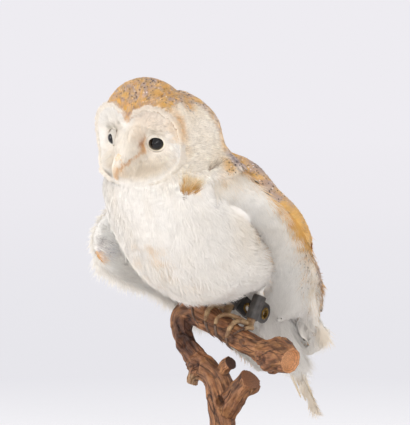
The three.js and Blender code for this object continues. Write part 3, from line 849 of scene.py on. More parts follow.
HEAD = HeadForm()
LEFT_WING = WingForm(
    Side.LEFT,
    ((28, -42, 334), (58, -38, 324), (80, -37, 304), (98, -17, 280), (99, 2, 258), (88, 25, 238),
     (66, 54, 207), (40, 96, 180), (10, 150, 153)),
    ((4, -14, 318), (5, 38, 276), (5, 72, 232), (-3, 86, 192), (-2, 104, 160), (0, 118, 143),
     (3, 136, 139), (10, 150, 153)),
    18, 1)
RIGHT_WING = WingForm(
    Side.RIGHT,
    ((-30, -52, 318), (-62, -52, 306), (-90, -60, 286), (-100, -73, 259), (-97, -66, 234), (-94, -42, 218),
     (-87, -8, 204), (-79, 18, 193), (-72, 54, 170), (-64, 98, 139), (-60, 136, 116)),
    ((-4, -14, 318), (-6, 38, 276), (-10, 74, 232), (-20, 98, 190), (-36, 118, 156), (-50, 134, 130),
     (-60, 136, 116)),
    20, -1)
TRUNK_SPINE = ((0, -86, 344), (0, -77, 314), (0, -58, 278), (0, -24, 248), (0, 20, 240), (0, 54, 220),
               (0, 76, 196))
TAIL_ROOT = np.array([0, 45, 227.0])
TAIL_TIP = np.array([0, 148, 74.0])


# ------------------------------------------------------------------ markings


@dataclass(frozen=True)
class Tones:
    """The plumage's colours, sRGB."""

    white: str = "FCF8F2"
    breast: str = "F5F0E9"
    ivory: str = "F7EFE3"
    cream: str = "F1E2CC"
    peach: str = "EBCCA4"
    gold: str = "E8B768"
    orange: str = "D99B48"
    rust: str = "A0622F"
    # a painted shadow colour: the grey-green shade under the brow above each eye
    brow_shadow: str = "9A9078"
    grey: str = "A99BA0"
    slate: str = "6F6468"
    brown: str = "7D6450"


TONE = Tones()


@dataclass(frozen=True)
class Mark:
    """A small patch of colour: centre and radius in mm, colour and strength."""

    centre: tuple[float, float, float]
    radius: float
    colour: str
    strength: float = 1.0
    dots: float = 0.0


BODY_MARKS = (
    Mark((55, -104, 312), 6, TONE.gold, 0.6),
    Mark((50, -107, 305), 3, TONE.slate, 0.8),
    Mark((63, -60, 329), 12, TONE.gold, 0.8, 0.9),
    Mark((58, -46, 336), 13, TONE.grey, 0.75, 1.0),
    Mark((66, -72, 316), 9, TONE.peach, 0.5),
    Mark((63, -76, 289), 3.5, TONE.slate, 0.7),
    Mark((9, -109, 244), 7, TONE.peach, 0.8),
    Mark((14, -95, 230), 7, TONE.peach, 0.8),
)


def lay_marks(points: np.ndarray, colour: np.ndarray, dots: np.ndarray, marks: tuple[Mark, ...]):
    """Blends small patches into colours and dot strengths."""
    for mark in marks:
        away = np.linalg.norm(points - np.array(mark.centre), axis=-1)
        away = away + noise(points, 5, 3) * mark.radius * 0.25
        share = smooth(mark.radius * 1.15, mark.radius * 0.5, away) * mark.strength
        colour = mix(colour, linear(mark.colour), share)
        dots = dots * (1 - share) + mark.dots * share
    return colour, dots


def golden(points: np.ndarray, flow: np.ndarray, patch_mm: float = 7, seed: int = 1, greyness: float = 0.5):
    """Gold plumage veiled with grey patches drawn out along the lie.

    Args:
        points: places in mm.
        flow: the direction that the feathers lie in.
        patch_mm: width of a patch.
        seed: picks another pattern.
        greyness: how much of it is grey.

    Returns:
        Linear colours and dot strengths.
    """
    drawn = points - flow * np.sum(points * flow, axis=-1, keepdims=True) * 0.78
    cloud = noise(drawn, patch_mm, seed) + 0.45 * noise(drawn, patch_mm * 0.45, seed + 1)
    veil = smooth(0.42 - greyness, 0.8 - greyness * 0.7, cloud)
    warm = mix(linear(TONE.gold)[None], linear(TONE.orange)[None],
               smooth(0.0, 1.0, noise(drawn, patch_mm * 0.7, seed + 4)))
    warm = mix(warm, linear(TONE.peach)[None], smooth(0.1, 0.9, noise(drawn, patch_mm * 0.5, seed + 7)) * 0.6)
    warm = mix(warm, linear(TONE.rust)[None], smooth(0.35, 0.95, noise(drawn, 2.2, seed + 9)) * 0.4)
    warm = mix(warm, linear(TONE.cream)[None], smooth(0.3, 0.9, noise(drawn, 2.4, seed + 11)) * 0.45)
    colour = mix(warm, linear(TONE.grey)[None], veil * 0.75)
    return colour, 0.12 + 0.88 * veil


def face_share(local: np.ndarray) -> np.ndarray:
    """How much each place, in head axes, belongs to the facial disc."""
    x, forward, high = local.T
    front = smooth(-9, -4, forward - HEAD.rim_forward(x, high))
    return smooth(1.03, 0.98, HEAD.disc_share(x, high)) * front * smooth(-46, -40, high)


def body_markings(points: np.ndarray, normals: np.ndarray, flow: np.ndarray) -> tuple[np.ndarray, np.ndarray]:
    """Colour and dot strength of head, neck and trunk.

    Args:
        points: places in mm.
        normals: the way out of the body there.
        flow: the lie of the feathers there.

    Returns:
        Linear colours and dot strengths.
    """
    local = HEAD.to_local(points)
    x, forward, high = local.T
    turn = np.degrees(np.arctan2(np.abs(x), high))
    reach = np.hypot(x, high)
    ratio = HEAD.disc_share(x, high)
    on_head = smooth(-46, -30, forward) * smooth(-40, -22, high)
    face = face_share(local)
    open_coat = 1 - face
    colour = np.tile(linear(TONE.breast), (len(points), 1))
    colour = mix(colour, linear("F3EADD"), smooth(-0.2, 0.9, noise(points, 14, 5)) * 0.6)
    peach = smooth(0.25, 0.9, noise(points * (1, 1, 2.4), 9, 31)) * smooth(262, 240,
            points[:, 2]) * smooth(45, 20, points[:, 0])
    colour = mix(colour, linear(TONE.peach), peach * 0.6)
    # Painted shade: the left flank beside the wing's front edge, which lies in shade, is tinted cream.
    shade = smooth(52, 66, points[:, 0]) * smooth(-70, -30, points[:, 1]) * smooth(300, 285, points[:, 2])
    colour = mix(colour, linear(TONE.cream), shade * 0.5)

    back_way = unit(np.array([0, 0.85, 0.52]))
    upward = normals @ back_way
    dorsal = smooth(0.3, 0.52, upward + 0.06 * noise(points, 8, 2)) * open_coat
    gold, gold_dots = golden(points, flow, 8, 2, 0.62)
    colour = mix(colour, gold, dorsal)
    dots = gold_dots * dorsal
    colour = mix(colour, linear(TONE.cream), smooth(0.02, 0.4, upward) * (1 - dorsal) * open_coat * 0.75)

    crown_gold, crown_dots = golden(points, flow, 6.5, 7, 0.66)
    frayed = turn + 5 * noise(points, 5, 9) + 3 * noise(points, 2, 10)
    crown = smooth(55, 42, frayed) * open_coat * smooth(20, 26, reach) * smooth(-30, -12, high)
    brow = smooth(9, 0, reach - HEAD.disc_edge(np.radians(turn))) * smooth(8, 22, forward)
    crown_gold = mix(crown_gold, linear(TONE.orange)[None], brow * 0.5)
    colour = mix(colour, crown_gold, crown)
    dots = dots * (1 - crown) + crown_dots * (1 - brow) * crown
    behind = open_coat * (1 - crown) * on_head * (1 - dorsal)
    colour = mix(colour, linear(TONE.cream), behind * 0.5)
    dots = np.maximum(dots, behind * 0.09)
    rim = np.exp(-(((ratio - 0.985) / 0.055) ** 2)) * smooth(135, 95, turn) * smooth(-12, -4,
            forward - HEAD.rim_forward(x, high) + 8)
    ear = smooth(52, 66, turn) * smooth(92, 80, turn)
    colour = mix(colour, linear(TONE.gold), rim * (0.3 + 0.3 * ear))
    colour = mix(colour, linear(TONE.orange), rim * ear * 0.7)

    blush = rim * ear * smooth(0, 10, x)
    face_tone = mix(linear(TONE.breast)[None], linear("F3EADD")[None], smooth(1.0, 0.4, ratio))
    # Painted shade: the near lobe of the disc is made creamier than the far one, as it lies in warm shade.
    face_tone = mix(face_tone, linear(TONE.cream)[None], smooth(0.98, 0.6, ratio) * smooth(0, 16, x) * 0.35)
    face_tone = mix(face_tone, linear(TONE.cream)[None], smooth(0, -22, high) * smooth(1.0, 0.8, ratio)
                    * 0.75)
    colour = mix(colour, face_tone, face)
    colour = mix(colour, linear(TONE.gold), blush * face)
    line = np.interp(high, (-19, -12, -6, -3, 0, 4), (-3.5, 0, 4, 8, 12, 12.5)) + 0.7 * noise(points, 4, 33)
    taper = smooth(4.2, 1.0, np.abs(x - line + 1.2)) * smooth(-5, -11, high) * smooth(-24, -19, high)
    colour = mix(colour, linear(TONE.peach), taper * face * 0.5)
    streak = smooth(2.0, 0.5, np.abs(x - line)) * smooth(12, 7, high) * smooth(-24, -19, high)
    colour = mix(colour, linear(TONE.orange), streak * face * (0.7 - 0.3 * smooth(-6, -12, high)))
    for side in Side:
        eye_x = side.value * HEAD.eye_spacing / 2
        inner = np.hypot((x - eye_x + side.value * 9.0) / 2.6, (high - 9) / 4.4)
        colour = mix(colour, linear("B4743A"), smooth(1.3, 0.3, inner) * face * 0.85)
        round_eye = np.hypot(x - eye_x, high - 2)
        colour = mix(colour, linear(TONE.peach), smooth(11, 8, round_eye) * face * 0.3)
        # Painted shadow: a grey-green patch above each eye, where the brow shades it.
        above_eye = np.hypot((x - eye_x) / 8, (high - 12) / 5)
        colour = mix(colour, linear(TONE.brow_shadow), smooth(1.4, 0.3, above_eye) * face * 0.8)
    # Painted shade: the upper near side of the face is darkened, as it lies in shade above the eye.
    upper = smooth(6, 18, high) * smooth(2, 8, x) * face
    colour = mix(colour, linear("E4D0B9"), upper * 0.55)
    return lay_marks(points, colour, dots, BODY_MARKS)


# ------------------------------------------------------------------ skin


class SkinMap:
    """The finished skin as arrays: where it is, which way it faces, and its place on the bake map."""

    def __init__(self, item: bpy.types.Object) -> None:
        """Reads the object's triangles, smooth normals and OFBake map."""
        mesh = item.data
        mesh.calc_loop_triangles()
        count = len(mesh.loop_triangles)
        corners = np.empty(count * 3, np.int64)
        mesh.loop_triangles.foreach_get("vertices", corners)
        self.triangles = corners.reshape(-1, 3)
        loops = np.empty(count * 3, np.int64)
        mesh.loop_triangles.foreach_get("loops", loops)
        uv = np.empty(len(mesh.loops) * 2, np.float32)
        mesh.uv_layers[BAKE_MAP].data.foreach_get("uv", uv)
        self.uv = uv.reshape(-1, 2)[loops].reshape(-1, 3, 2).astype(float)
        self.points = points_of(mesh)
        self.normals = normals_of(mesh)
        a, b, c = (self.points[self.triangles[:, k]] for k in range(3))
        self.areas = np.linalg.norm(np.cross(b - a, c - a), axis=1) / 2
        self.middles = (a + b + c) / 3
        self.tree = BVHTree.FromPolygons(self.points.tolist(), self.triangles.tolist())

    def weights(self, points: np.ndarray, index: np.ndarray) -> np.ndarray:
        """Barycentric weights of points in their triangles."""
        a, b, c = (self.points[self.triangles[index, k]] for k in range(3))
        across, along, part = b - a, c - a, points - a
        d00, d01, d11 = (np.sum(p * q, axis=1) for p, q in ((across, across), (across, along),
                (along, along)))
        d20, d21 = np.sum(part * across, axis=1), np.sum(part * along, axis=1)
        area = np.maximum(d00 * d11 - d01 * d01, 1e-12)
        second = (d11 * d20 - d01 * d21) / area
        third = (d00 * d21 - d01 * d20) / area
        return np.clip(np.stack([1 - second - third, second, third], axis=1), 0, 1)

    def nearest(self, points: np.ndarray) -> tuple[np.ndarray, np.ndarray, np.ndarray]:
        """Nearest points of the skin, their smooth normals and their triangles."""
        find = self.tree.find_nearest
        found = [find(point) for point in points.tolist()]
        place = np.array([hit[0] for hit in found])
        index = np.array([hit[2] for hit in found])
        weight = self.weights(place, index)[..., None]
        return place, unit((self.normals[self.triangles[index]] * weight).sum(1)), index

    def bake_place(self, points: np.ndarray, index: np.ndarray) -> np.ndarray:
        """Where points of the skin lie on the bake map."""
        return (self.uv[index] * self.weights(points, index)[..., None]).sum(1)

    def scatter(self, density: np.ndarray, rng: np.random.Generator):
        """Evenly spread roots.

        Args:
            density: roots for each square millimetre, one value for each triangle.
            rng: the seeded source of chance.

        Returns:
            Points, smooth normals and places on the bake map.
        """
        total = np.cumsum(self.areas * density)
        count = int(total[-1])
        picks = (np.arange(count) + rng.random(count)) * (total[-1] / count)
        index = np.minimum(np.searchsorted(total, picks), len(total) - 1)
        first, second = rng.random((2, count))
        root = np.sqrt(first)
        weight = np.stack([1 - root, root * (1 - second), root * second], axis=1)[..., None]
        points = (self.points[self.triangles[index]] * weight).sum(1)
        normals = unit((self.normals[self.triangles[index]] * weight).sum(1))
        return points, normals, (self.uv[index] * weight).sum(1)


def body_flow(points: np.ndarray, normals: np.ndarray) -> np.ndarray:
    """The lie of the feathers on head, neck and trunk, as unit vectors along the body."""
    local = HEAD.to_local(points)
    x, _, high = local.T
    steps = np.linspace(0, 1, 40)
    spine = curve_points(list(TRUNK_SPINE), steps)
    tangent = unit(np.gradient(spine, axis=0))
    near = np.argmin(((points[:, None] - spine[None]) ** 2).sum(2), axis=1)
    trunk_way = tangent[near] + np.array([0, 0, -0.12])
    outward = np.stack([x * 0.012, -np.ones_like(x), -0.25 - 0.004 * (40 - high)], axis=1)
    head_way = HEAD.world_way(outward)
    face = face_share(local)
    eye_x = np.sign(x) * HEAD.eye_spacing / 2
    radial = np.stack([x - eye_x, np.zeros_like(x), high - 2], axis=1)
    radial = unit(radial) + np.stack([np.sign(x) * 0.25, np.zeros_like(x), np.full_like(x, -0.1)], axis=1)
    ridge = smooth(14, 8, np.abs(x)) * smooth(26, 16, high)
    bristle = np.stack([x * 0.05, np.full_like(x, 0.2), np.full_like(x, -1.0)], axis=1)
    face_way = HEAD.world_way(mix(radial, bristle, ridge))
    upper = smooth(296, 330, points[:, 2] + 0.35 * points[:, 1] + 30) * smooth(-44, -26, high)
    way = mix(unit(trunk_way), unit(head_way), upper * (1 - face))
    way = mix(way, unit(face_way), face)
    shoulder = smooth(50, 60, points[:, 0]) * smooth(-100, -88, points[:, 1]) * smooth(-30, -50, points[:, 1])
    shoulder = shoulder * smooth(276, 290, points[:, 2]) * smooth(336, 322, points[:, 2])
    way = mix(way, unit(np.array([0.35, 0.75, -0.55])), shoulder)
    return unit(way - normals * np.sum(way * normals, axis=1, keepdims=True))


# ------------------------------------------------------------------ feathers


OPEN_SIDE = unit(np.array([0.35, -0.8, 0.45]))  # where most of the light on loose down comes from


class Plume(Enum):
    """How one feather is built."""

    DOWN = "loose strands fanned from one root"
    CONTOUR = "a leaf-shaped vane with a frayed edge"


@dataclass(frozen=True)
class Coat:
    """The sizes of one kind of feather, in mm."""

    plume: Plume
    length: float
    width: float
    rise: float  # how high the vane rides over the skin
    stand: float = 0.0  # how far the tip stands up, as a share of the length
    strands: int = 6
    steps: int = 3
    sway: float = 0.12  # how far one feather may lie off the flow
    fan: float = 0.35  # how far the strands spread, as a share of the length
    shade: float = 0.035  # how much one feather's lightness may differ
    barb: float = 0.3  # half width of a strand
    loft: float = 0.3  # how far the strands lift off one another
    open: float = 0.18  # how far its face turns to the open side, as loose down does


@dataclass
class Laid:
    """Feathers laid over the body: one row in each array for each feather; lengths in mm."""

    path: np.ndarray
    up: np.ndarray
    root_colour: np.ndarray
    tip_colour: np.ndarray
    dots: np.ndarray
    bake: np.ndarray
    scale: np.ndarray

    def take(self, keep: np.ndarray) -> "Laid":
        """Only the feathers that are asked for."""
        return Laid(*(getattr(self, name)[keep] for name in self.__dataclass_fields__))

    @staticmethod
    def together(parts: list["Laid"]) -> "Laid":
        """Several lots as one."""
        return Laid(*(np.concatenate([getattr(part, name) for part in parts])
                      for name in Laid.__dataclass_fields__))


class FeatherMesh:
    """Gathers ribbons of feather as arrays and turns them into one mesh."""

    def __init__(self) -> None:
        """Starts empty."""
        self.columns: dict[str, list[np.ndarray]] = {k: [] for k in ("co", "no", "colour", "dots", "bake",
                "vane")}
        self.faces: dict[int, list[np.ndarray]] = {3: [], 4: []}
        self.count = 0

    def add(self, faces: dict[int, np.ndarray], **rows: np.ndarray) -> None:
        """Adds vertices, given as rows for each column, and faces that count from the first of them."""
        size = rows["co"].reshape(-1, 3).shape[0]
        for name, values in rows.items():
            width = values.shape[-1] if name not in ("dots",) else 1
            self.columns[name].append(values.reshape(size, width) if width > 1 else values.reshape(size))
        for corners, rows_of in faces.items():
            if len(rows_of):
                self.faces[corners].append(rows_of.reshape(-1, corners) + self.count)
        self.count += size

    def build(self, name: str) -> bpy.types.Object:
        """One mesh object with maps, colours and soft normals."""
        data = {key: np.concatenate(values) for key, values in self.columns.items()}
        quads = np.concatenate(self.faces[4]) if self.faces[4] else np.empty((0, 4), np.int64)
        triangles = np.concatenate(self.faces[3]) if self.faces[3] else np.empty((0, 3), np.int64)
        corners = np.concatenate([quads.ravel(), triangles.ravel()]).astype(np.int32)
        starts = np.concatenate([np.arange(len(quads)) * 4, len(quads) * 4 + np.arange(len(triangles)) * 3])
        mesh = bpy.data.meshes.new(name)
        mesh.vertices.add(self.count)
        mesh.vertices.foreach_set("co", (data["co"] * MM).astype(np.float32).ravel())
        mesh.loops.add(len(corners))
        mesh.loops.foreach_set("vertex_index", corners)
        mesh.polygons.add(len(starts))
        mesh.polygons.foreach_set("loop_start", starts.astype(np.int32))
        mesh.polygons.foreach_set("use_smooth", np.ones(len(starts), bool))
        mesh.update(calc_edges=True)
        for title, key in ((BAKE_MAP, "bake"), (VANE_MAP, "vane")):
            layer = mesh.uv_layers.new(name=title)
            layer.data.foreach_set("uv", data[key][corners].astype(np.float32).ravel())
        tint(mesh, data["colour"], data["dots"])
        mesh.normals_split_custom_set_from_vertices(unit(data["no"]).astype(np.float32))
        return link_mesh(name, mesh)


def along_path(path: np.ndarray, share: np.ndarray) -> np.ndarray:
    """Points of each feather's shaft at shares of its length; path is rows, steps, 3 and share rows, places."""
    spans = path.shape[1] - 1
    place = np.clip(share, 0, 1) * spans
    low = np.minimum(place.astype(int), spans - 1)
    part = (place - low)[..., None]
    rows = np.arange(len(path))[:, None]
    return path[rows, low] * (1 - part) + path[rows, low + 1] * part


def ribbon_faces(count: int, rows: int) -> dict[int, np.ndarray]:
    """Faces of many pointed ribbons: pairs of vertices at each row, then one tip vertex."""
    size = 2 * rows + 1
    start = (np.arange(count) * size)[:, None, None]
    step = (np.arange(rows - 1) * 2)[None, :, None]
    quads = start + step + np.array([0, 1, 3, 2])[None, None, :]
    tips = start + np.array([2 * rows - 2, 2 * rows - 1, 2 * rows])[None, None, :]
    return {4: quads.reshape(-1, 4), 3: tips.reshape(-1, 3)}


def add_ribbons(out: FeatherMesh, path: np.ndarray, up: np.ndarray, half: np.ndarray, colours, dots, bake,
                vane_mm: float,
                open_share: float) -> None:
    """Adds pointed ribbons.

    Args:
        out: the mesh that they go into.
        path: count, rows + 1, 3: centre line, in mm.
        up: the same shape: the way that each ribbon faces.
        half: count, rows: half width before the tip.
        colours: root and tip colours, each count, 3.
        dots: count: dot strength.
        bake: count, 2: place on the bake map.
        vane_mm: ribbon length that the vane map counts, in mm.
        open_share: how far they face the open side.
    """
    count, places = path.shape[:2]
    rows = places - 1
    ahead = unit(np.gradient(path, axis=1))
    side = unit(np.cross(ahead, up))
    edges = np.empty((count, 2 * rows + 1, 3))
    edges[:, 0 : 2 * rows : 2] = path[:, :rows] - side[:, :rows] * half[..., None]
    edges[:, 1 : 2 * rows : 2] = path[:, :rows] + side[:, :rows] * half[..., None]
    edges[:, -1] = path[:, rows]
    share = np.concatenate([np.repeat(np.arange(rows) / rows, 2), [1.0]])
    across = np.concatenate([np.tile([-1.0, 1.0], rows), [0.0]])
    facing = np.concatenate([np.repeat(up[:, :rows], 2, axis=1), up[:, rows:]], axis=1)
    turned = open_share * smooth(-0.25, 0.15, facing @ OPEN_SIDE)[..., None]
    facing = unit(facing * (1 - turned) + OPEN_SIDE * turned)
    facing = facing + side[:, np.minimum(np.repeat(np.arange(rows + 1), 2)[: 2 * rows + 1],
                                         rows)] * across[None, :, None] * 0.1
    colour = colours[0][:, None] * (1 - share[None, :, None]) + colours[1][:, None] * share[None, :, None]
    place = bake[:, None] + TUFT_PATCH * np.stack([across * 0.5, share - 0.5], axis=1)[None]
    vane = np.broadcast_to(np.stack([across * 0.3, share * vane_mm * 0.1], axis=1)[None], place.shape)
    out.add(ribbon_faces(count, rows), co=edges, no=facing, colour=colour,
            dots=np.repeat(dots[:, None], 2 * rows + 1, axis=1), bake=place, vane=vane)


def plume_mesh(name: str, coat: Coat, laid: Laid, rng: np.random.Generator) -> bpy.types.Object:
    """Turns laid feathers into one mesh of strands or frayed vanes."""
    out = FeatherMesh()
    count = len(laid.path)
    length = np.linalg.norm(np.diff(laid.path, axis=1), axis=2).sum(1)
    ahead = unit(np.gradient(laid.path, axis=1))
    side = unit(np.cross(ahead, laid.up))
    colours = (laid.root_colour, laid.tip_colour)
    if coat.plume is Plume.CONTOUR:
        rows = coat.steps + 1
        share = np.linspace(0, 1, rows + 1)
        path = along_path(laid.path, np.broadcast_to(share, (count, rows + 1)))
        up = unit(along_path(laid.up, np.broadcast_to(share, (count, rows + 1))))
        outline = stations([(0, 0.3), (0.35, 0.9), (0.6, 1.0), (0.85, 0.78), (1, 0.4)], share[:rows])
        half = coat.width / 2 * laid.scale[:, None] * outline[None]
        add_ribbons(out, path, up, half, colours, laid.dots, laid.bake, coat.length, coat.open)
    for strand in range(coat.strands):
        if coat.plume is Plume.CONTOUR:
            begin = rng.uniform(0.3, 0.8, count)
            reach = rng.uniform(0.25, 0.42, count)
            lean = rng.uniform(0.12, 0.42, count) * (1 if strand % 2 else -1)
            offset = (coat.width / 2 * laid.scale * 0.62)[:, None] * np.sign(lean)[:, None]
        else:
            begin = rng.uniform(0, 0.18, count)
            reach = rng.uniform(0.62, 1.0, count) * (1 - begin)
            lean = (strand + rng.uniform(0, 1, count)) / coat.strands * 2 - 1
            offset = lean[:, None] * coat.width * 0.5
            lean = lean * coat.fan
        rows = coat.steps
        share = np.linspace(0, 1, rows + 1)[None]
        at = begin[:, None] + reach[:, None] * share
        path = along_path(laid.path, at)
        up = unit(along_path(laid.up, at))
        sideways = along_path(side, at)
        spread = offset + (lean * length * reach)[:, None] * share**1.3
        wave = rng.normal(0, 0.05, (count, 1)) * length[:, None] * share**2
        lift = coat.loft * (rng.uniform(-0.3, 1.0, (count, 1)) + rng.uniform(-0.05, 0.15, (count, 1))
                            * length[:, None] * share**2)
        path = path + sideways * (spread + wave)[..., None] + up * lift[..., None]
        half = coat.barb * rng.uniform(0.7, 1.2, (count, 1)) * (1 - share[:, :rows] ** 1.6 * 0.6)
        tone = rng.normal(1, coat.shade, (count, 1))
        add_ribbons(out, path, up, half, (colours[0] * tone, colours[1] * tone), laid.dots, laid.bake,
                    coat.length,
                    coat.open)
    return out.build(name)


def lay_free(coat: Coat, roots: np.ndarray, way: np.ndarray, bend: np.ndarray, up: np.ndarray,
             colours: tuple[np.ndarray, np.ndarray], skin: SkinMap, rng: np.random.Generator,
             dots: float = 0.0) -> Laid:
    """Lays loose feathers that leave the skin: each starts one way and bends towards another.

    Args:
        coat: their sizes.
        roots: rows of places in mm.
        way: the way that each starts.
        bend: how it bends: a share of its length added at its tip.
        up: the way that its face turns.
        colours: linear colours of the root and the tip, rows or one for all.
        skin: the skin whose bake map the feathers use.
        rng: the seeded source of chance.
        dots: dot strength.

    Returns:
        The laid feathers.
    """
    count = len(roots)
    scale = np.clip(rng.normal(1, 0.16, count), 0.6, 1.5)
    length = (coat.length * scale)[:, None, None]
    steps = np.linspace(0, 1, 5)[None, :, None]
    way = unit(way + rng.normal(0, coat.sway, (count, 3)))
    bend = np.broadcast_to(bend, roots.shape)
    up = unit(np.broadcast_to(up, roots.shape))
    path = roots[:, None] + way[:, None] * length * steps + bend[:, None] * length * steps**2
    path = path + up[:, None] * (coat.rise * rng.uniform(0.2, 1, (count, 1, 1)) * steps)
    ups = np.repeat(up[:, None], 5, axis=1)
    tone = rng.normal(1, coat.shade, (count, 1))
    first, last = (np.broadcast_to(colour, roots.shape) * tone for colour in colours)
    place, _, index = skin.nearest(roots)
    return Laid(path, ups, first, last, np.full(count, dots), skin.bake_place(place, index), scale)


def dress_plumes(name: str, coat: Coat, laid: Laid, rng: np.random.Generator) -> None:
    """Builds laid feathers as pieces that each stay light, and dresses them."""
    each = coat.strands * (2 * coat.steps - 1) + (2 * coat.steps + 1 if coat.plume is Plume.CONTOUR else 0)
    pieces = math.ceil(len(laid.path) * each / PIECE_LIMIT)
    for number in range(pieces):
        part = laid.take(np.arange(number, len(laid.path), pieces))
        title = name if pieces == 1 else f"{name}_{number + 1}"
        dress(plume_mesh(title, coat, part, rng), Plumage())


def lay_on_skin(skin: SkinMap, coat: Coat, density, rng: np.random.Generator, limits=None) -> Laid:
    """Roots one kind of feather in the skin and combs it along the body.

    Args:
        skin: the skin that carries it.
        coat: its sizes.
        density: a function from points and normals to feathers for each square millimetre.
        rng: the seeded source of chance.
        limits: an optional function from points to True where a tip may end.

    Returns:
        The laid feathers.
    """
    middles = skin.middles
    facing = unit(skin.normals[skin.triangles].sum(1))
    roots, normals, bake = skin.scatter(density(middles, facing), rng)
    flow = body_flow(roots, normals)
    side = np.cross(normals, flow)
    way = unit(flow + side * rng.normal(0, coat.sway, (len(roots), 1)))
    scale = np.clip(rng.normal(1, 0.14, len(roots)), 0.65, 1.4)
    length = coat.length * scale
    steps = 4
    path = [roots]
    ups = [normals]
    point = roots
    for _ in range(steps):
        ahead = point + way * (length / steps)[:, None]
        point, new_up, _ = skin.nearest(ahead)
        new_flow = body_flow(point, new_up)
        way = unit(way * 0.6 + new_flow * 0.4)
        way = unit(way - new_up * np.sum(way * new_up, axis=1, keepdims=True))
        path.append(point)
        ups.append(new_up)
    path = np.stack(path, axis=1)
    ups = np.stack(ups, axis=1)
    share = np.linspace(0, 1, steps + 1)
    ride = coat.rise * rng.uniform(0.35, 1.0, (len(roots), 1)) * smooth(0, 0.45,
            share)[None] - 0.2 * (1 - share)[None]
    stand = coat.stand * length[:, None] * rng.uniform(0.2, 1.0, (len(roots), 1)) * share[None] ** 2
    path = path + ups * (ride + stand)[..., None]
    colour, dots = body_markings(path[:, 1], normals, flow)
    tip, _ = body_markings(path[:, -1], ups[:, -1], flow)
    tone = rng.normal(1, coat.shade, (len(roots), 1))
    # Roots a touch darker and tips a touch lighter: the feathers' paler tips, and painted shade where the roots
    # lie under other feathers.
    laid = Laid(path, ups, colour * tone * 0.98, np.minimum(tip * tone * 1.01, 0.97), dots, bake, scale)
    if limits is not None:
        laid = laid.take(limits(path[:, -1]))
    return laid


# ------------------------------------------------------------------ wings


WHITE_FRONT = {  # how far back from its front edge the wing's back stays white, as shares (span, chord)
    Side.LEFT: ((0, -0.04), (1, -0.04)),
    Side.RIGHT: ((0, 0.1), (0.1, 0.4), (0.5, 0.4), (0.8, 0.2), (1, 0.1)),
}
GOLD_FRONT = {  # how far back the gold reaches on its underside
    Side.LEFT: ((0, 0.02), (0.12, 0.0), (0.3, 0.0), (0.36, 0.03), (0.5, 0.06), (0.62, 0.05), (0.75, 0.02),
                (1, 0.02)),
    Side.RIGHT: ((0, 0.0), (1, 0.0)),
}
WING_MARKS = (  # span, chord, sizes along and across, colour, on the right wing's underside
    (0.375, 0.012, 0.022, 0.024, TONE.orange),
    (0.345, 0.06, 0.02, 0.03, TONE.grey),
    (0.315, 0.07, 0.011, 0.034, TONE.slate),
    (0.312, 0.155, 0.01, 0.018, TONE.slate),
    (0.5, 0.3, 0.014, 0.1, TONE.peach),
    (0.6, 0.22, 0.014, 0.09, TONE.peach),
)


def wing_markings(form: WingForm, share: np.ndarray, chord: np.ndarray, above: bool) -> tuple[np.ndarray,
        np.ndarray]:
    """Colour and dot strength of a wing's small feathers at shares of its span and chord."""
    points = form.surface(share, chord, above)
    flow = unit(form.at(share, chord)[3])
    grey = 0.4 + 0.45 * smooth(0.36, 0.28, share) * (form.side is Side.LEFT)
    gold, dots = golden(points, flow, 9, 11, grey)
    ragged = chord + 0.02 * noise(points, 6, 13) + 0.012 * noise(points, 2.4, 14)
    white = mix(linear(TONE.white)[None], linear(TONE.ivory)[None],
                smooth(-0.3, 0.8, noise(points, 16, 12)) * 0.6)
    if above:
        front = stations(list(WHITE_FRONT[form.side]), share)
        back = smooth(front - 0.01, front + 0.02, ragged)
        dashes = smooth(0.1, 0.7, noise(points - flow * np.sum(points * flow, axis=-1, keepdims=True) * 0.8,
                                        2.6, 44))
        gold = mix(gold, linear(TONE.brown)[None], dashes * smooth(0.36, 0.44, share)
                   * smooth(0.2, 0.05, chord) * 0.75)
        return mix(white, gold, back), dots * back
    width = stations(list(GOLD_FRONT[form.side]), share)
    band = smooth(width + 0.015, width - 0.02, ragged) * (width > 0.001)
    warm = mix(gold, linear(TONE.orange)[None], np.full(len(gold), 0.35))
    bars = smooth(0.2, 0.7, np.sin(share * 190 + chord * 30)) * smooth(0.47, 0.54, share)
    warm = mix(warm, linear(TONE.brown)[None], bars * 0.75)
    colour = mix(white, warm, band)
    colour = mix(colour, linear(TONE.cream)[None], smooth(width + 0.12, width, chord) * (1 - band) * 0.5
                 * (form.side is Side.LEFT))
    if form.side is Side.RIGHT:
        for at_share, at_chord, long, wide, tone in WING_MARKS:
            away = np.hypot((share - at_share) / long, (chord - at_chord) / wide) + 0.25 * noise(points, 2.5,
                    15)
            colour = mix(colour, linear(tone)[None], smooth(1.3, 0.6, away) * 0.95)
            dots = dots + smooth(1.3, 0.6, away) * (tone == TONE.grey) * 2
    return colour, np.minimum(dots * np.maximum(band * 0.7, smooth(1.2, 2, dots)), 1)


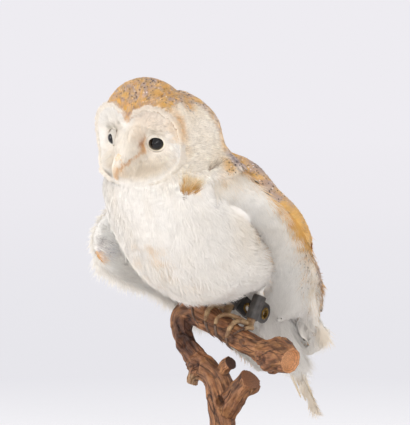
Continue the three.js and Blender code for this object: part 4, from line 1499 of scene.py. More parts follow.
@dataclass
class Wing:
    """A half-open wing: flight feathers, rows of coverts on its back and underside, and a soft front edge."""

    form: WingForm
    flight_count: int = 20
    flight_root: float = 0.3
    arm_chord: float = 0.4
    wisps: tuple = ()  # span from and to, tufts, length, droop, tip colour and chord of each run of loose down
    rng: np.random.Generator = field(default_factory=lambda: np.random.default_rng(ROOT_SEED))

    @property
    def name(self) -> str:
        """The wing's side as a word."""
        return self.form.side.name.lower()

    def arm(self) -> bpy.types.Object:
        """The fleshy front of the wing, as part of the skin."""
        rows, ring = 30, 14
        share = np.linspace(0.0, 0.9, rows)
        points, faces = [], []
        around = np.linspace(0, 2 * math.pi, ring, endpoint=False)
        chord = (1 - np.cos(around)) / 2 * self.arm_chord
        for part in share:
            spans = np.full(ring, part)
            middle, swell, half, _ = self.form.at(spans, chord)
            thin = np.maximum(half - 1.6, 1.2) * np.sin(around)
            points.append(middle + swell * thin[:, None])
        for row in range(rows - 1):
            for k in range(ring):
                a, b = row * ring + k, row * ring + (k + 1) % ring
                faces.append((a, b, b + ring, a + ring))
        faces.append(tuple(range(ring))[::-1])
        faces.append(tuple(range((rows - 1) * ring, rows * ring)))
        item = mesh_of(f"arm_{self.name}", np.concatenate(points), faces)
        point_outwards(item)
        return item

    def covert_roots(self, first: float, last: float, row_mm: float, gap_mm: float) -> tuple[np.ndarray,
            np.ndarray]:
        """Staggered rows of roots between two shares of the chord."""
        spans = np.linspace(0.0, 0.985, 240)
        chord_mm = np.linalg.norm(self.form.at(spans, np.zeros_like(spans))[3], axis=1)
        shares, chords = [], []
        for row in range(60):
            chord = first + row * row_mm / 120
            if chord > last:
                break
            line = self.form.surface(spans, np.full_like(spans, chord), True)
            length = np.concatenate([[0], np.cumsum(np.linalg.norm(np.diff(line, axis=0), axis=1))])
            count = int(length[-1] / gap_mm)
            place = (np.arange(count) + (row % 2) * 0.5 + self.rng.uniform(-0.3, 0.3, count)) * gap_mm
            share = np.interp(place, length, spans)
            room = np.interp(share, spans, chord_mm)
            keep = self.rng.random(count) < np.clip(room / 60, 0.25, 1)
            shares.append(share[keep])
            chords.append(np.full(keep.sum(), chord) + self.rng.uniform(-0.3, 0.3, keep.sum()) * row_mm / 120)
        return np.concatenate(shares), np.clip(np.concatenate(chords), 0.0, 1)

    def lay(self, share: np.ndarray, chord: np.ndarray, coat: Coat, above: bool, skin: SkinMap) -> Laid:
        """Lays small feathers over one face of the wing, tips towards the feather ends."""
        count = len(share)
        rng = self.rng
        scale = np.clip(rng.normal(1, 0.12, count), 0.7, 1.3)
        _, _, _, reach = self.form.at(share, chord)
        room = np.maximum(np.linalg.norm(reach, axis=1), 25)
        length = coat.length * scale
        steps = np.linspace(0, 1, 5)
        drift = 0.1 * share + rng.normal(0, 0.02, count)
        spans = share[:, None] + (drift * length / 40)[:, None] * steps
        chords = chord[:, None] + (length / room)[:, None] * steps * 0.97
        spans, chords = np.clip(spans, 0, 1), np.clip(chords, 0, 1.0)
        flat = (spans.ravel(), chords.ravel())
        path = self.form.surface(*flat, above).reshape(count, 5, 3)
        up = self.form.normal(*flat, above).reshape(count, 5, 3)
        ride = coat.rise * rng.uniform(0.3, 1, (count, 1)) * smooth(0, 0.4,
                steps)[None] - 0.5 * (1 - steps)[None]
        stand = coat.stand * length[:, None] * rng.uniform(0.1, 1, (count, 1)) * steps[None] ** 2
        path = path + up * (ride + stand)[..., None]
        colour, dots = wing_markings(self.form, share, chord, above)
        tip, _ = wing_markings(self.form, spans[:, -1], chords[:, -1], above)
        tone = rng.normal(1, coat.shade, (count, 1))
        place, _, index = skin.nearest(path[:, 0])
        return Laid(path, up, colour * tone, np.minimum(tip * tone * 1.02, 0.97), dots,
                    skin.bake_place(place, index), scale)

    def dress_face(self, above: bool, skin: SkinMap) -> None:
        """Rows of coverts on one face of the wing, longest at the back."""
        face = "upper" if above else "under"
        vane = {"strands": 8, "steps": 4, "barb": 0.5, "open": 0.2 if above else 0.75}
        kinds = [
            (Coat(Plume.CONTOUR, 27, 10, 1.4, sway=0.06, **vane), 0.24, 0.5, 9, 5.0),
            (Coat(Plume.CONTOUR, 19, 8, 1.5, sway=0.08, **vane), 0.1, 0.3, 6.5, 4.2),
        ]
        if above:
            kinds.append((Coat(Plume.CONTOUR, 12, 5.5, 1.0, sway=0.1, **vane), 0.03, 0.16, 4, 3.0))
            kinds.append((Coat(Plume.DOWN, 10, 2.4, 0.9, strands=8, steps=2, fan=0.3), 0.0, 0.07, 1.6, 1.9))
        else:
            kinds.append((Coat(Plume.DOWN, 17, 3.2, 3.2, stand=0.12, strands=9, steps=2, fan=0.45,
                               open=0.75), 0.05, 0.8, 4.0, 3.2))
            kinds.append((Coat(Plume.DOWN, 12, 2.4, 2.0, stand=0.08, strands=8, steps=2, fan=0.35,
                               open=0.75), 0.0, 0.1, 1.6, 1.9))
        for number, (coat, first, last, row, gap) in enumerate(kinds, 1):
            share, chord = self.covert_roots(first, last, row, gap)
            laid = self.lay(share, chord, coat, above, skin)
            dress_plumes(f"coverts_{self.name}_{face}_{number}", coat, laid, self.rng)

    def fringe(self, skin: SkinMap) -> None:
        """Loose down that hangs off the front edge and the tip."""
        down = np.array([0, 0, -1.0])
        for number, (first, last, count, length, droop, tone, deep) in enumerate(self.wisps, 1):
            coat = Coat(Plume.DOWN, length, 2.6, 0.5, strands=8, steps=3, sway=0.16, fan=0.45, barb=0.22,
                        open=0.75)
            share = self.rng.uniform(first, last, count)
            chord = self.rng.uniform(0.0, deep, count)
            middle, swell, _, reach = self.form.at(share, chord)
            ahead = unit(self.form.at(np.minimum(share + 0.02, 1), chord)[0]
                         - self.form.at(share - 0.02, chord)[0])
            way = ahead * 0.75 - unit(reach) * 0.35 + down * droop
            laid = lay_free(coat, middle, way, down * 0.15, -swell,
                            (linear(TONE.ivory), linear(tone)), skin, self.rng)
            dress_plumes(f"fringe_{self.name}_{number}", coat, laid, self.rng)

    def flight(self) -> bpy.types.Object:
        """Primaries and secondaries: long overlapping vanes, barred above and pale below."""
        out = FeatherMesh()
        rows, columns = 22, 7
        across = np.array([-1.0, -0.62, -0.25, 0.0, 0.18, 0.55, 1.0])
        steps = np.linspace(0, 1, rows)
        for number in range(self.flight_count):
            tip = 0.06 + 0.94 * (number / (self.flight_count - 1)) ** 0.92
            root = tip * (1 - 0.36 * smooth(0.45, 1.0, np.array(tip)))
            spans = root + (tip - root) * steps**1.1
            chords = self.flight_root + (0.995 - self.flight_root) * steps
            centre = self.form.surface(spans, chords, True) * 0.5 + self.form.surface(spans, chords,
                    False) * 0.5
            up = self.form.normal(spans, np.clip(chords, 0, 0.98), True)
            ahead = unit(np.gradient(centre, axis=0))
            side = unit(np.cross(ahead, up)) * self.form.dorsal
            wide = stations([(0, 0.35), (0.3, 0.8), (0.6, 1.0), (0.85, 0.92), (0.95, 0.62), (1, 0.06)],
                            steps) * 10.5
            rough = 1 + self.rng.normal(0, 0.03, (rows, columns)) * (np.abs(across) > 0.9)
            vane = across[None] * wide[:, None] * np.where(across > 0, 0.72, 1.15)[None] * rough
            tilt = 0.75 * across[None] * smooth(0, 0.25, steps)[:, None]
            arch = -0.05 * np.abs(vane) ** 1.25
            twist = self.rng.normal(0, 0.4)
            for above in (True, False):
                thick = 0.35 * (1 - np.abs(across[None])) * (1 if above else -1)
                lift = tilt + arch + thick + twist * across[None] * steps[:, None] ** 2
                points = centre[:, None] + side[:, None] * vane[..., None] + up[:, None] * lift[..., None]
                facing = (up[:, None] + side[:, None] * (0.22 * across)[None, :, None]) * (1 if above else -1)
                facing = facing + OPEN_SIDE * (0.1 if above else 0.9)
                colour, dots = self.vane_colours(points.reshape(-1, 3), np.repeat(steps, columns),
                        np.tile(across, rows), number, above)
                grid = np.arange((rows - 1) * columns).reshape(rows - 1, columns)[:, :-1].ravel()
                quad = np.stack([grid, grid + 1, grid + columns + 1, grid + columns], axis=1)
                if (self.form.dorsal > 0) != above:
                    quad = quad[:, ::-1]
                patch = np.stack([
                    (number + 0.5 + 0.42 * np.tile(across, rows)) / self.flight_count,
                    (0.02 if above else 0.52) + 0.46 * np.repeat(steps, columns)], axis=1)
                length = np.linalg.norm(np.diff(centre, axis=0), axis=1).sum()
                map_vane = np.stack([vane.ravel() * 0.1, np.repeat(steps, columns) * length * 0.1], axis=1)
                out.add({4: quad}, co=points.reshape(-1, 3),
                        no=np.broadcast_to(facing, points.shape).reshape(-1, 3),
                        colour=colour, dots=dots, bake=patch, vane=map_vane)
        return out.build(f"flight_feathers_{self.name}")

    def vane_colours(self, points, share, across, number: int, above: bool) -> tuple[np.ndarray, np.ndarray]:
        """Colours of one flight feather: bars across it, a mottled outer vane and a white inner one."""
        bar = smooth(0.55, 0.95, np.sin(share * 2 * math.pi * 5.2 + 0.6 * across + number * 0.35))
        flow = unit(self.form.at(np.full(len(points), 0.5), np.full(len(points), 0.5))[3])
        if above:
            gold, dots = golden(points, flow, 6, 20 + number, 0.4)
            inner = smooth(-0.15, -0.9, across) * smooth(0.9, 0.6, share)
            base = mix(gold, linear(TONE.cream)[None], inner * 0.7)
            base = mix(base, linear(TONE.brown)[None], bar * 0.7)
            return base, dots * 0.7
        outer = number / (self.flight_count - 1)
        base = mix(linear(TONE.white)[None], linear(TONE.ivory)[None], smooth(0.2, 1, np.abs(across)) * 0.7)
        strong = 0.1 + 0.2 * smooth(0.55, 0.95, np.array(outer))
        base = mix(base, linear(TONE.brown)[None], bar * strong * smooth(-0.6, 0.6, across))
        return base, np.full(len(points), 0.12)


@dataclass(frozen=True)
class Armpit:
    """A soft web from the left wing's front edge in over the flank, deep in down; sizes in mm."""

    span: tuple[float, float] = (0.05, 0.8)
    flank: tuple = ((62, -90, 319), (62, -74, 300), (51, -26, 277), (46, 4, 255), (37, 26, 230),
                    (24, 54, 204), (20, 68, 178))
    bulge: float = 6
    outward: tuple[float, float, float] = (0.64, -0.76, 0.08)

    def surface(self, along: np.ndarray, across: np.ndarray) -> np.ndarray:
        """Points of the web at shares along the wing and across towards the flank."""
        low, high = self.span
        outer = curve_points(list(LEFT_WING.leading), low + (high - low) * along)
        inner = curve_points(list(self.flank), along)
        swell = self.bulge * np.sin(math.pi * np.clip(across, 0, 1)) * smooth(-0.1, 0.15, along)
        return mix(outer, inner, across) + np.array(self.outward) * swell[..., None]

    def normal(self, along: np.ndarray, across: np.ndarray) -> np.ndarray:
        """The way out of the web's front."""
        step = 0.02
        down = self.surface(along + step, across) - self.surface(along - step, across)
        inward = self.surface(along, across + step) - self.surface(along, across - step)
        out = unit(np.cross(down, inward))
        return out * np.sign(np.sum(out * np.array(self.outward), axis=-1, keepdims=True))

    def web(self) -> bpy.types.Object:
        """The web's thin flesh, for the skin."""
        rows, columns = 24, 8
        along, across = np.meshgrid(np.linspace(0, 1, rows), np.linspace(0.02, 0.97, columns), indexing="ij")
        along, across = along.ravel(), across.ravel()
        front, out = self.surface(along, across), self.normal(along, across)
        return slab_between("armpit_web", front - out * 2.2, front - out * 5.5, rows, columns)

    def colours(self, along: np.ndarray, across: np.ndarray) -> tuple[np.ndarray, np.ndarray]:
        """White down, gold where it meets the wing's front edge."""
        points = self.surface(along, across)
        span = self.span[0] + (self.span[1] - self.span[0]) * along
        width = stations([(0, 0.08), (0.16, 0.1), (0.24, 0.0), (0.32, 0.02), (0.37, 0.1), (0.46, 0.2),
                          (0.54, 0.14), (0.6, 0.06), (0.8, 0.02)], span)
        ragged = across + 0.07 * noise(points, 6, 16) + 0.05 * noise(points, 2.5, 17)
        band = smooth(width + 0.08, width - 0.06, ragged) * (width > 0.001)
        warm = mix(linear(TONE.gold)[None], linear(TONE.orange)[None],
                   smooth(-0.2, 0.6, noise(points, 4, 18)))
        warm = mix(warm, linear(TONE.rust)[None], smooth(0.3, 0.9, noise(points, 3, 21)) * 0.45)
        bars = smooth(0.2, 0.7, np.sin(span * 190)) * smooth(0.49, 0.54, span)
        warm = mix(warm, linear(TONE.brown)[None], bars * 0.75)
        white = mix(linear(TONE.white)[None], linear(TONE.ivory)[None],
                    smooth(-0.3, 0.8, noise(points, 16, 12)) * 0.6)
        white = mix(white, linear(TONE.cream)[None], smooth(0.24, 0.1, span) * 0.7)
        tan = smooth(0.3, 0.8, noise(points * (1, 1, 2), 7, 19)) * smooth(0.3, 0.18, span)
        white = mix(white, linear(TONE.gold)[None], tan * 0.6)
        white = mix(white, linear(TONE.cream)[None], smooth(width + 0.25, width, across) * 0.5)
        return mix(white, warm, band), smooth(0.49, 0.54, span) * band * 0.8

    def down(self, skin: SkinMap, rng: np.random.Generator) -> None:
        """Lays the down, tips along the wing and a little inwards."""
        coat = Coat(Plume.DOWN, 21, 3.2, 2.0, stand=0.05, strands=9, steps=3, fan=0.32, barb=0.28, open=0.75)
        count = 1750
        along, across = rng.uniform(-0.02, 1, count), rng.uniform(-0.02, 1.0, count)
        long = np.linalg.norm(self.surface(np.array([0.0]), np.array([0.5]))
                              - self.surface(np.array([1.0]), np.array([0.5])))
        scale = np.clip(rng.normal(1, 0.14, count), 0.65, 1.4)
        steps = np.linspace(0, 1, 5)
        wander = rng.normal(0.1, 0.09, count)
        rows = along[:, None] + (coat.length * scale / long)[:, None] * steps
        columns = across[:, None] + wander[:, None] * steps
        path = self.surface(rows.ravel(), columns.ravel()).reshape(count, 5, 3)
        up = self.normal(rows.ravel(), columns.ravel()).reshape(count, 5, 3)
        ride = coat.rise * rng.uniform(0.2, 1, (count, 1)) * smooth(0, 0.4,
                steps)[None] - 1.6 * (1 - steps)[None]
        stand = coat.stand * coat.length * rng.uniform(0.0, 1, (count, 1)) * steps[None] ** 2
        path = path + up * (ride + stand)[..., None]
        root, dots = self.colours(along, across)
        tip, _ = self.colours(rows[:, -1], columns[:, -1])
        tone = rng.normal(1, coat.shade, (count, 1))
        place, _, index = skin.nearest(path[:, 0])
        laid = Laid(path, up, root * tone, tip * tone, dots, skin.bake_place(place, index), scale)
        dress_plumes("armpit_down", coat, laid, rng)


@dataclass
class Tail:
    """Seven narrow tail feathers in a shallow fan, with down over and under their roots."""

    count: int = 7
    half_width: float = 12
    vane_half: float = 5
    rng: np.random.Generator = field(default_factory=lambda: np.random.default_rng(ROOT_SEED + 5))

    def feathers(self) -> bpy.types.Object:
        """The vanes, paler below, with four bars."""
        out = FeatherMesh()
        rows, columns = 22, 5
        across = np.array([-1.0, -0.5, 0.0, 0.5, 1.0])
        steps = np.linspace(0, 1, rows)
        ahead = unit(TAIL_TIP - TAIL_ROOT)
        back = unit(np.cross([1.0, 0, 0], ahead))
        whole = np.linalg.norm(TAIL_TIP - TAIL_ROOT)
        for number in range(self.count):
            place = (number - (self.count - 1) / 2) / ((self.count - 1) / 2)
            fan = self.half_width - self.vane_half * 0.75
            length = whole * (1 - 0.1 * abs(place) - self.rng.uniform(0, 0.08))
            start = 0.1
            x = place * fan * (0.55 + 0.45 * steps)
            stack = (1 - abs(place)) * 2.2 - 5 * (x / self.half_width) ** 2 * steps
            centre = TAIL_ROOT + ahead * (start * whole + (length - start * whole) * steps)[:, None]
            centre = centre + np.array([1.0, 0, 0]) * x[:, None] + back * stack[:, None]
            wide = stations([(0, 0.5), (0.4, 1.0), (0.7, 0.75), (0.9, 0.4), (1, 0.06)],
                            steps) * self.vane_half
            frayed = 1 - self.rng.uniform(0, 0.55, (rows, columns)) * (np.abs(across) > 0.9) * smooth(0.3,
                    0.7, steps)[:, None]
            vane = across[None] * wide[:, None] * frayed
            for above in (True, False):
                flip = 1 if above else -1
                lift = -0.06 * np.abs(vane) ** 1.2 + 0.3 * (1
                        - np.abs(across))[None] * flip - 0.35 * across[None] * np.sign(place + 1e-6)
                points = centre[:, None] + np.array([1.0, 0, 0]) * vane[..., None] + back * lift[..., None]
                facing = (back + np.array([1.0, 0, 0]) * (0.2 * across)[:, None]) * flip + OPEN_SIDE * (0.1
                        if above else 0.9)
                share, over = np.repeat(steps, columns), np.tile(across, rows)
                bar = smooth(0.5, 0.95, np.sin(share * 2 * math.pi * 4.6 + abs(place)))
                if above:
                    base, dots = golden(points.reshape(-1, 3), np.tile(ahead, (rows * columns, 1)), 6,
                                        40 + number, 0.35)
                    base = mix(base, linear(TONE.cream)[None], np.full(len(base), 0.35))
                    base = mix(base, linear(TONE.brown)[None], bar * 0.7)
                else:
                    base = mix(linear(TONE.ivory)[None], linear(TONE.cream)[None],
                               smooth(0.2, 1, np.abs(over)))
                    base = mix(base, linear(TONE.brown)[None],
                               bar * 0.15 + 0.3 * smooth(0.5, 0.0, np.abs(over)) * smooth(0.6, 0.9, share))
                    dots = np.full(len(base), 0.15)
                grid = np.arange((rows - 1) * columns).reshape(rows - 1, columns)[:, :-1].ravel()
                quad = np.stack([grid, grid + 1, grid + columns + 1, grid + columns], axis=1)
                if not above:
                    quad = quad[:, ::-1]
                patch = np.stack([(number + 0.5 + 0.42 * over) / self.count,
                                  (0.02 if above else 0.52) + 0.46 * share], axis=1)
                map_vane = np.stack([vane.ravel() * 0.1, share * length * 0.1], axis=1)
                out.add({4: quad}, co=points.reshape(-1, 3),
                        no=np.broadcast_to(facing[None], points.shape).reshape(-1, 3),
                        colour=base, dots=dots, bake=patch, vane=map_vane)
        return out.build("tail_feathers")

    def down(self, skin: SkinMap) -> None:
        """White down over and under the tail's roots, and frayed barbs near its tip."""
        ahead = unit(TAIL_TIP - TAIL_ROOT)
        back = unit(np.cross([1.0, 0, 0], ahead))
        whole = np.linalg.norm(TAIL_TIP - TAIL_ROOT)
        white, ivory = linear(TONE.white), linear(TONE.ivory)
        runs = ((0.12, 0.62, 1500, 24, 15, 5.5, white, white),
                (0.6, 0.97, 170, 13, 3.5, 0.4, ivory, linear(TONE.cream)))
        for first, last, count, length, wide, deep, root, tip in runs:
            coat = Coat(Plume.DOWN, length, 2.6, 1.2, strands=8, steps=3, sway=0.1, fan=0.3, barb=0.25,
                        open=0.75)
            share = self.rng.uniform(first, last, count)
            x = self.rng.uniform(-1, 1, count) * wide * (1 + 0.35 * smooth(0.4, 0.15, share))
            side = self.rng.choice([-1.0, 1.0], count)
            thick = deep * smooth(last + 0.1, first, share) * np.sqrt(np.clip(1
                    - (x / (wide * 1.35 + 3)) ** 2, 0, 1))
            roots = TAIL_ROOT + ahead * (share * whole)[:, None] + back * (side * thick)[:, None]
            roots[:, 0] += x
            way = ahead + back * (side * 0.06)[:, None] + np.array([1.0, 0, 0]) * (x / wide * 0.12)[:, None]
            laid = lay_free(coat, roots, way, np.zeros(3), back * side[:, None], (root, tip), skin, self.rng)
            dress_plumes(f"tail_down_{round(first * 100)}", coat, laid, self.rng)


# ------------------------------------------------------------------ the owl


def lattice(first: tuple[float, float, int], second: tuple[float, float, int]) -> tuple[np.ndarray, np.ndarray]:
    """A grid of places as two flat lists.

    Args:
        first: from, to and how many, for the one that changes slowest.
        second: the same for the other.

    Returns:
        Both coordinates of every place.
    """
    grids = np.meshgrid(np.linspace(*first), np.linspace(*second), indexing="ij")
    return grids[0].ravel(), grids[1].ravel()


@dataclass(frozen=True)
class LidForm:
    """One eyelid's rim: half widths and half heights in mm, from its opening out to its edge under the down."""

    opening: tuple[float, float]
    outer: tuple[float, float]
    cover: float = 0.0  # how much further its outer part stands off the eyeball
    shade: float = 1.0  # how light it is, as the far eye's hollow lies in the ridge's shadow
    plain: bool = False  # one tone all round, with no yellow rim below


LIDS = {
    Side.LEFT: LidForm((7.0, 6.3), (9.4, 8.6)),
    Side.RIGHT: LidForm((3.8, 5.0), (8.6, 8.6), cover=0.3, shade=0.7, plain=True),
}
LID_PROFILE = (  # place from opening to outer edge, height off the eyeball in mm, tone
    (-0.1, -2.0, 0), (-0.06, 0.1, 0), (0.04, 0.5, 0.2), (0.22, 0.5, 0.7), (0.45, 0.4, 1), (0.7, 0.2, 1),
    (0.9, -0.2, 1), (1.1, -1.4, 1), (1.5, -2.8, 1), (1.4, -4.5, 1))


@dataclass
class Owl:
    """The bird: one skin, its coat, wings, tail, eyes, bill and claws."""

    skin_voxel_mm: float = 2.0
    coat_depth_mm: float = 2.6
    face_depth_mm: float = 1.2
    toe_voxel_mm: float = 0.7
    shank_mm: float = 192  # height where the bare toes end and the feathered shanks begin
    rng: np.random.Generator = field(default_factory=lambda: np.random.default_rng(ROOT_SEED))
    wings: tuple[Wing, Wing] = field(default_factory=lambda: (
        Wing(LEFT_WING, wisps=((0.62, 0.9, 110, 10, 0.9, TONE.cream, 0.05),
                               (0.9, 0.99, 60, 20, 0.7, TONE.cream, 0.05),
                                (0.6, 0.9, 320, 17, 1.3, TONE.white, 0.8))),
        Wing(RIGHT_WING, wisps=((0.36, 0.8, 420, 15, 0.25, TONE.white, 0.05),
                                (0.1, 0.4, 260, 8, 0.0, TONE.white, 0.05)))))
    armpit: Armpit = Armpit()
    body_count: int = field(default=0, init=False)  # points of the skin that come before the feet's
    feet_count: int = field(default=0, init=False)  # points of the skin that come before the lids'
    lid_tones: np.ndarray = field(default_factory=lambda: np.empty(0), init=False)

    FLESH = ("head", "neck", "trunk", "tail", "wing_left", "wing_right", "leg_left", "leg_right",
             "foot_left", "foot_right")

    def make_skin(self) -> bpy.types.Object:
        """One skin for all the flesh, drawn in by the depth of the coat."""
        parts = [copy_node(name, name + "_flesh") for name in ("trunk", "head", "neck")]
        body = merge_objects(parts + [wing.arm() for wing in self.wings] + [self.armpit.web()])
        body.name = "skin"
        remesh(body, self.skin_voxel_mm, 5)
        keep_largest(body)
        mesh = body.data
        points, normals = points_of(mesh), normals_of(mesh)
        face = face_share(HEAD.to_local(points))
        points = points - normals * (self.coat_depth_mm * (1 - face) + self.face_depth_mm * face)[:, None]
        points = self.soften(mesh, points)
        move_points(mesh, self.shape_face(points))
        apply_modifier(body, "SMOOTH", factor=0.5, iterations=1)
        self.body_count = len(mesh.vertices)
        legs = [copy_node(f"{part}_{side}", f"{part}_{side}_flesh") for side in ("left", "right")
                for part in ("leg", "foot")]
        feet = merge_objects(legs)
        apply_modifier(feet, "SUBSURF", levels=1, render_levels=1)
        remesh(feet, self.toe_voxel_mm, 4)
        points = points_of(feet.data)
        lumps = noise(points, 3.4, 61) * 0.35 + noise(points, 7, 62) * 0.35
        move_points(feet.data, points + normals_of(feet.data) * (0.15 + lumps)[:, None])
        self.feet_count = self.body_count + len(feet.data.vertices)
        return merge_objects([body, feet] + [self.lid(side) for side in Side])

    @staticmethod
    def soften(mesh: bpy.types.Mesh, points: np.ndarray) -> np.ndarray:
        """Fills the crease where the back of the head meets the neck."""
        ends = np.empty(len(mesh.edges) * 2, np.int64)
        mesh.edges.foreach_get("vertices", ends)
        ends = ends.reshape(-1, 2)
        degree = np.bincount(ends.ravel(), minlength=len(points)).astype(float)[:, None]
        local = HEAD.to_local(points)
        share = smooth(9, -3, local[:, 1]) * smooth(-78, -60, local[:, 1]) * smooth(-95, -75, local[:, 2])
        share = (share * (1 - face_share(local)))[:, None]
        out = normals_of(mesh)
        for _ in range(220):
            total = np.zeros_like(points)
            for first, second in ((0, 1), (1, 0)):
                for axis in range(3):
                    total[:, axis] += np.bincount(ends[:, first], points[ends[:, second], axis], len(points))
            rise = np.sum((total / degree - points) * out, axis=1, keepdims=True)
            points = points + out * np.maximum(rise, rise * 0.1) * share
        return points

    def shape_face(self, points: np.ndarray) -> np.ndarray:
        """Sets the face's skin on its dished form, and blends the chin into the breast."""
        local = HEAD.to_local(points)
        x, forward, high = local.T
        target = HEAD.face_at(x, high) - self.face_depth_mm
        front = smooth(-9, -3, forward - HEAD.rim_forward(x, high))
        share = smooth(1.16, 1.0, HEAD.disc_share(x, high)) * front
        local[:, 1] = forward * (1 - share) + target * share
        return HEAD.to_world(local)

    def paint_skin(self, skin: bpy.types.Object) -> None:
        """Gives the skin the same markings as the coat, and its bake map."""
        mesh = skin.data
        points, normals = points_of(mesh), normals_of(mesh)
        colour, dots = body_markings(points, normals, body_flow(points, normals))
        faces = []
        for wing in self.wings:
            spans, chords = lattice((0, 1, 90), (0, 0.55, 24))
            for above in (True, False):
                places, out = wing.form.surface(spans, chords, above), wing.form.normal(spans, chords, above)
                faces.append((places, out, 90, 24, *wing_markings(wing.form, spans, chords, above)))
        along, across = lattice((0, 1, 60), (0, 1, 20))
        places, out = self.armpit.surface(along, across), self.armpit.normal(along, across)
        faces.append((places, out, 60, 20, *self.armpit.colours(along, across)))
        for places, out, rows, columns, tones, specks in faces:
            tree = BVHTree.FromPolygons(places.tolist(), grid_faces(rows, columns))
            hits = [tree.find_nearest(point, 7.0) for point in points.tolist()]
            near = np.array([hit[0] is not None for hit in hits])
            reach = np.array([hit[3] for hit in hits if hit[0] is not None])
            index = np.array([hit[2] for hit in hits if hit[0] is not None])
            corner = index // (columns - 1) * columns + index % (columns - 1)
            facing = np.sum(normals[near] * out[corner], axis=1)
            share = smooth(7, 3.5, reach) * smooth(-0.2, 0.3, facing)
            colour[near] = mix(colour[near], tones[corner], share)
            dots[near] = dots[near] * (1 - share) + specks[corner] * share
        number = np.arange(len(points))
        feet = (number >= self.body_count) & (number < self.feet_count)
        share = smooth(197, 190, points[:, 2]) * feet
        toe_tone = mix(linear("BC9A72")[None], linear("94704F")[None], smooth(-0.4, 0.6, noise(points, 4, 8)))
        colour = mix(colour, toe_tone, share)
        lids = number >= self.feet_count
        in_shade = np.repeat([LIDS[side].shade for side in Side], len(self.lid_tones) // len(Side))[:, None]
        colour[lids] = mix(linear("DCCB9C")[None], linear(TONE.ivory)[None], self.lid_tones) * in_shade
        tint(mesh, colour, dots * (1 - share) * ~lids)
        pick(skin)
        bpy.ops.object.mode_set(mode="EDIT")
        bpy.ops.mesh.select_all(action="SELECT")
        bpy.ops.uv.smart_project(angle_limit=math.radians(66), island_margin=0.002)
        bpy.ops.object.mode_set(mode="OBJECT")
        mesh.uv_layers.active.name = BAKE_MAP
        bpy.ops.object.shade_smooth()

    def zones(self, points: np.ndarray) -> dict[str, np.ndarray]:
        """Shares from 0 to 1 of the face, head and wing at each place."""
        local = HEAD.to_local(points)
        _, forward, high = local.T
        face = face_share(local)
        head = smooth(-42, -34, forward) * smooth(-38, -30, high)
        wing = np.zeros(len(points))
        spans, chords = lattice((0.08, 1, 60), (0, 0.5, 12))
        for part in self.wings:
            tree = BVHTree.FromPolygons(part.form.at(spans, chords)[0].tolist(), grid_faces(60, 12))
            hits = [tree.find_nearest(point) for point in points.tolist()]
            index = np.array([hit[2] for hit in hits])
            span = spans[(index // 11) * 12 + index % 11]
            half = stations([(0, 15), (0.3, 11), (0.5, 6), (0.75, 2.5), (1, 1.2)], span)
            reach = np.array([hit[3] for hit in hits])
            wing = np.maximum(wing, smooth(1.5, -1.0, reach - half) * smooth(0.1, 0.18, span))
        along, across = lattice((0.06, 1, 40), (0, 0.9, 10))
        tree = BVHTree.FromPolygons(self.armpit.surface(along, across).tolist(), grid_faces(40, 10))
        reach = np.array([tree.find_nearest(point)[3] for point in points.tolist()])
        return {"face": face, "head": head * (1 - face), "wing": np.maximum(wing, smooth(7.5, 6, reach))}

    def eyes(self) -> None:
        """Glass eyes: a ball with a slightly raised cornea."""
        for side in Side:
            name = f"eye_{side.name.lower()}"
            centre = HEAD.eye_centre(side)
            deselect()
            bpy.ops.mesh.primitive_uv_sphere_add(segments=48, ring_count=32,
                    radius=HEAD.eye_radius * MM * 0.985, location=(0, 0, 0))
            ball = bpy.context.object
            ball.name = name + "_glass"
            points = points_of(ball.data)
            look = self.eye_way(side)
            dome = unit(points) @ look
            points = points + look * (smooth(0.62, 1.0, dome) * 0.7)[:, None]
            move_points(ball.data, points + centre)
            bpy.ops.object.shade_smooth()
            dress(ball, GlassEye(), (name,))

    @staticmethod
    def eye_way(side: Side) -> np.ndarray:
        """The way an eye looks: forward and a little to its side."""
        return unit(HEAD.world_way(np.array([[side.value * 0.42, 1.0, 0.02]])))[0]

    def lid(self, side: Side) -> bpy.types.Object:
        """The bare rim of an eyelid; it lies on the eyeball and runs out under the face's down."""
        look = self.eye_way(side)
        up = unit(HEAD.world_way(np.array([[0, 0, 1.0]]))[0] - look
                  * (HEAD.world_way(np.array([[0, 0, 1.0]]))[0] @ look))
        across = np.cross(up, look)
        form = LIDS[side]
        opening, outer = np.array(form.opening), np.array(form.outer)
        ball = HEAD.eye_radius * 0.985
        count = 48
        turn = np.linspace(0, 2 * math.pi, count, endpoint=False)
        around = np.stack([np.cos(turn), np.sin(turn)], axis=1)
        rows, tones = [], []
        for grow, lift, tone in LID_PROFILE:
            lift = lift + form.cover * (grow > 0)
            plane = around * (opening * (1 - grow) + outer * grow)
            depth = np.sqrt(np.maximum(ball**2 - (plane**2).sum(1), 4)) + lift
            rows.append(HEAD.eye_centre(side) + across * plane[:, :1] + up * plane[:, 1:] + look
                        * depth[:, None])
            above = 0.85 * smooth(-0.4, 0.2, around[:, 1])
            tones.append(np.full(count, 1.0) if form.plain else np.maximum(tone, above))
        self.lid_tones = np.concatenate([self.lid_tones, *tones])
        faces = []
        for row in range(len(rows)):
            for k in range(count):
                a, b = row * count + k, row * count + (k + 1) % count
                next_row = ((row + 1) % len(rows) - row) * count
                faces.append((a, b, b + next_row, a + next_row))
        item = mesh_of(f"lid_{side.name.lower()}", np.concatenate(rows), faces)
        point_outwards(item)
        return item

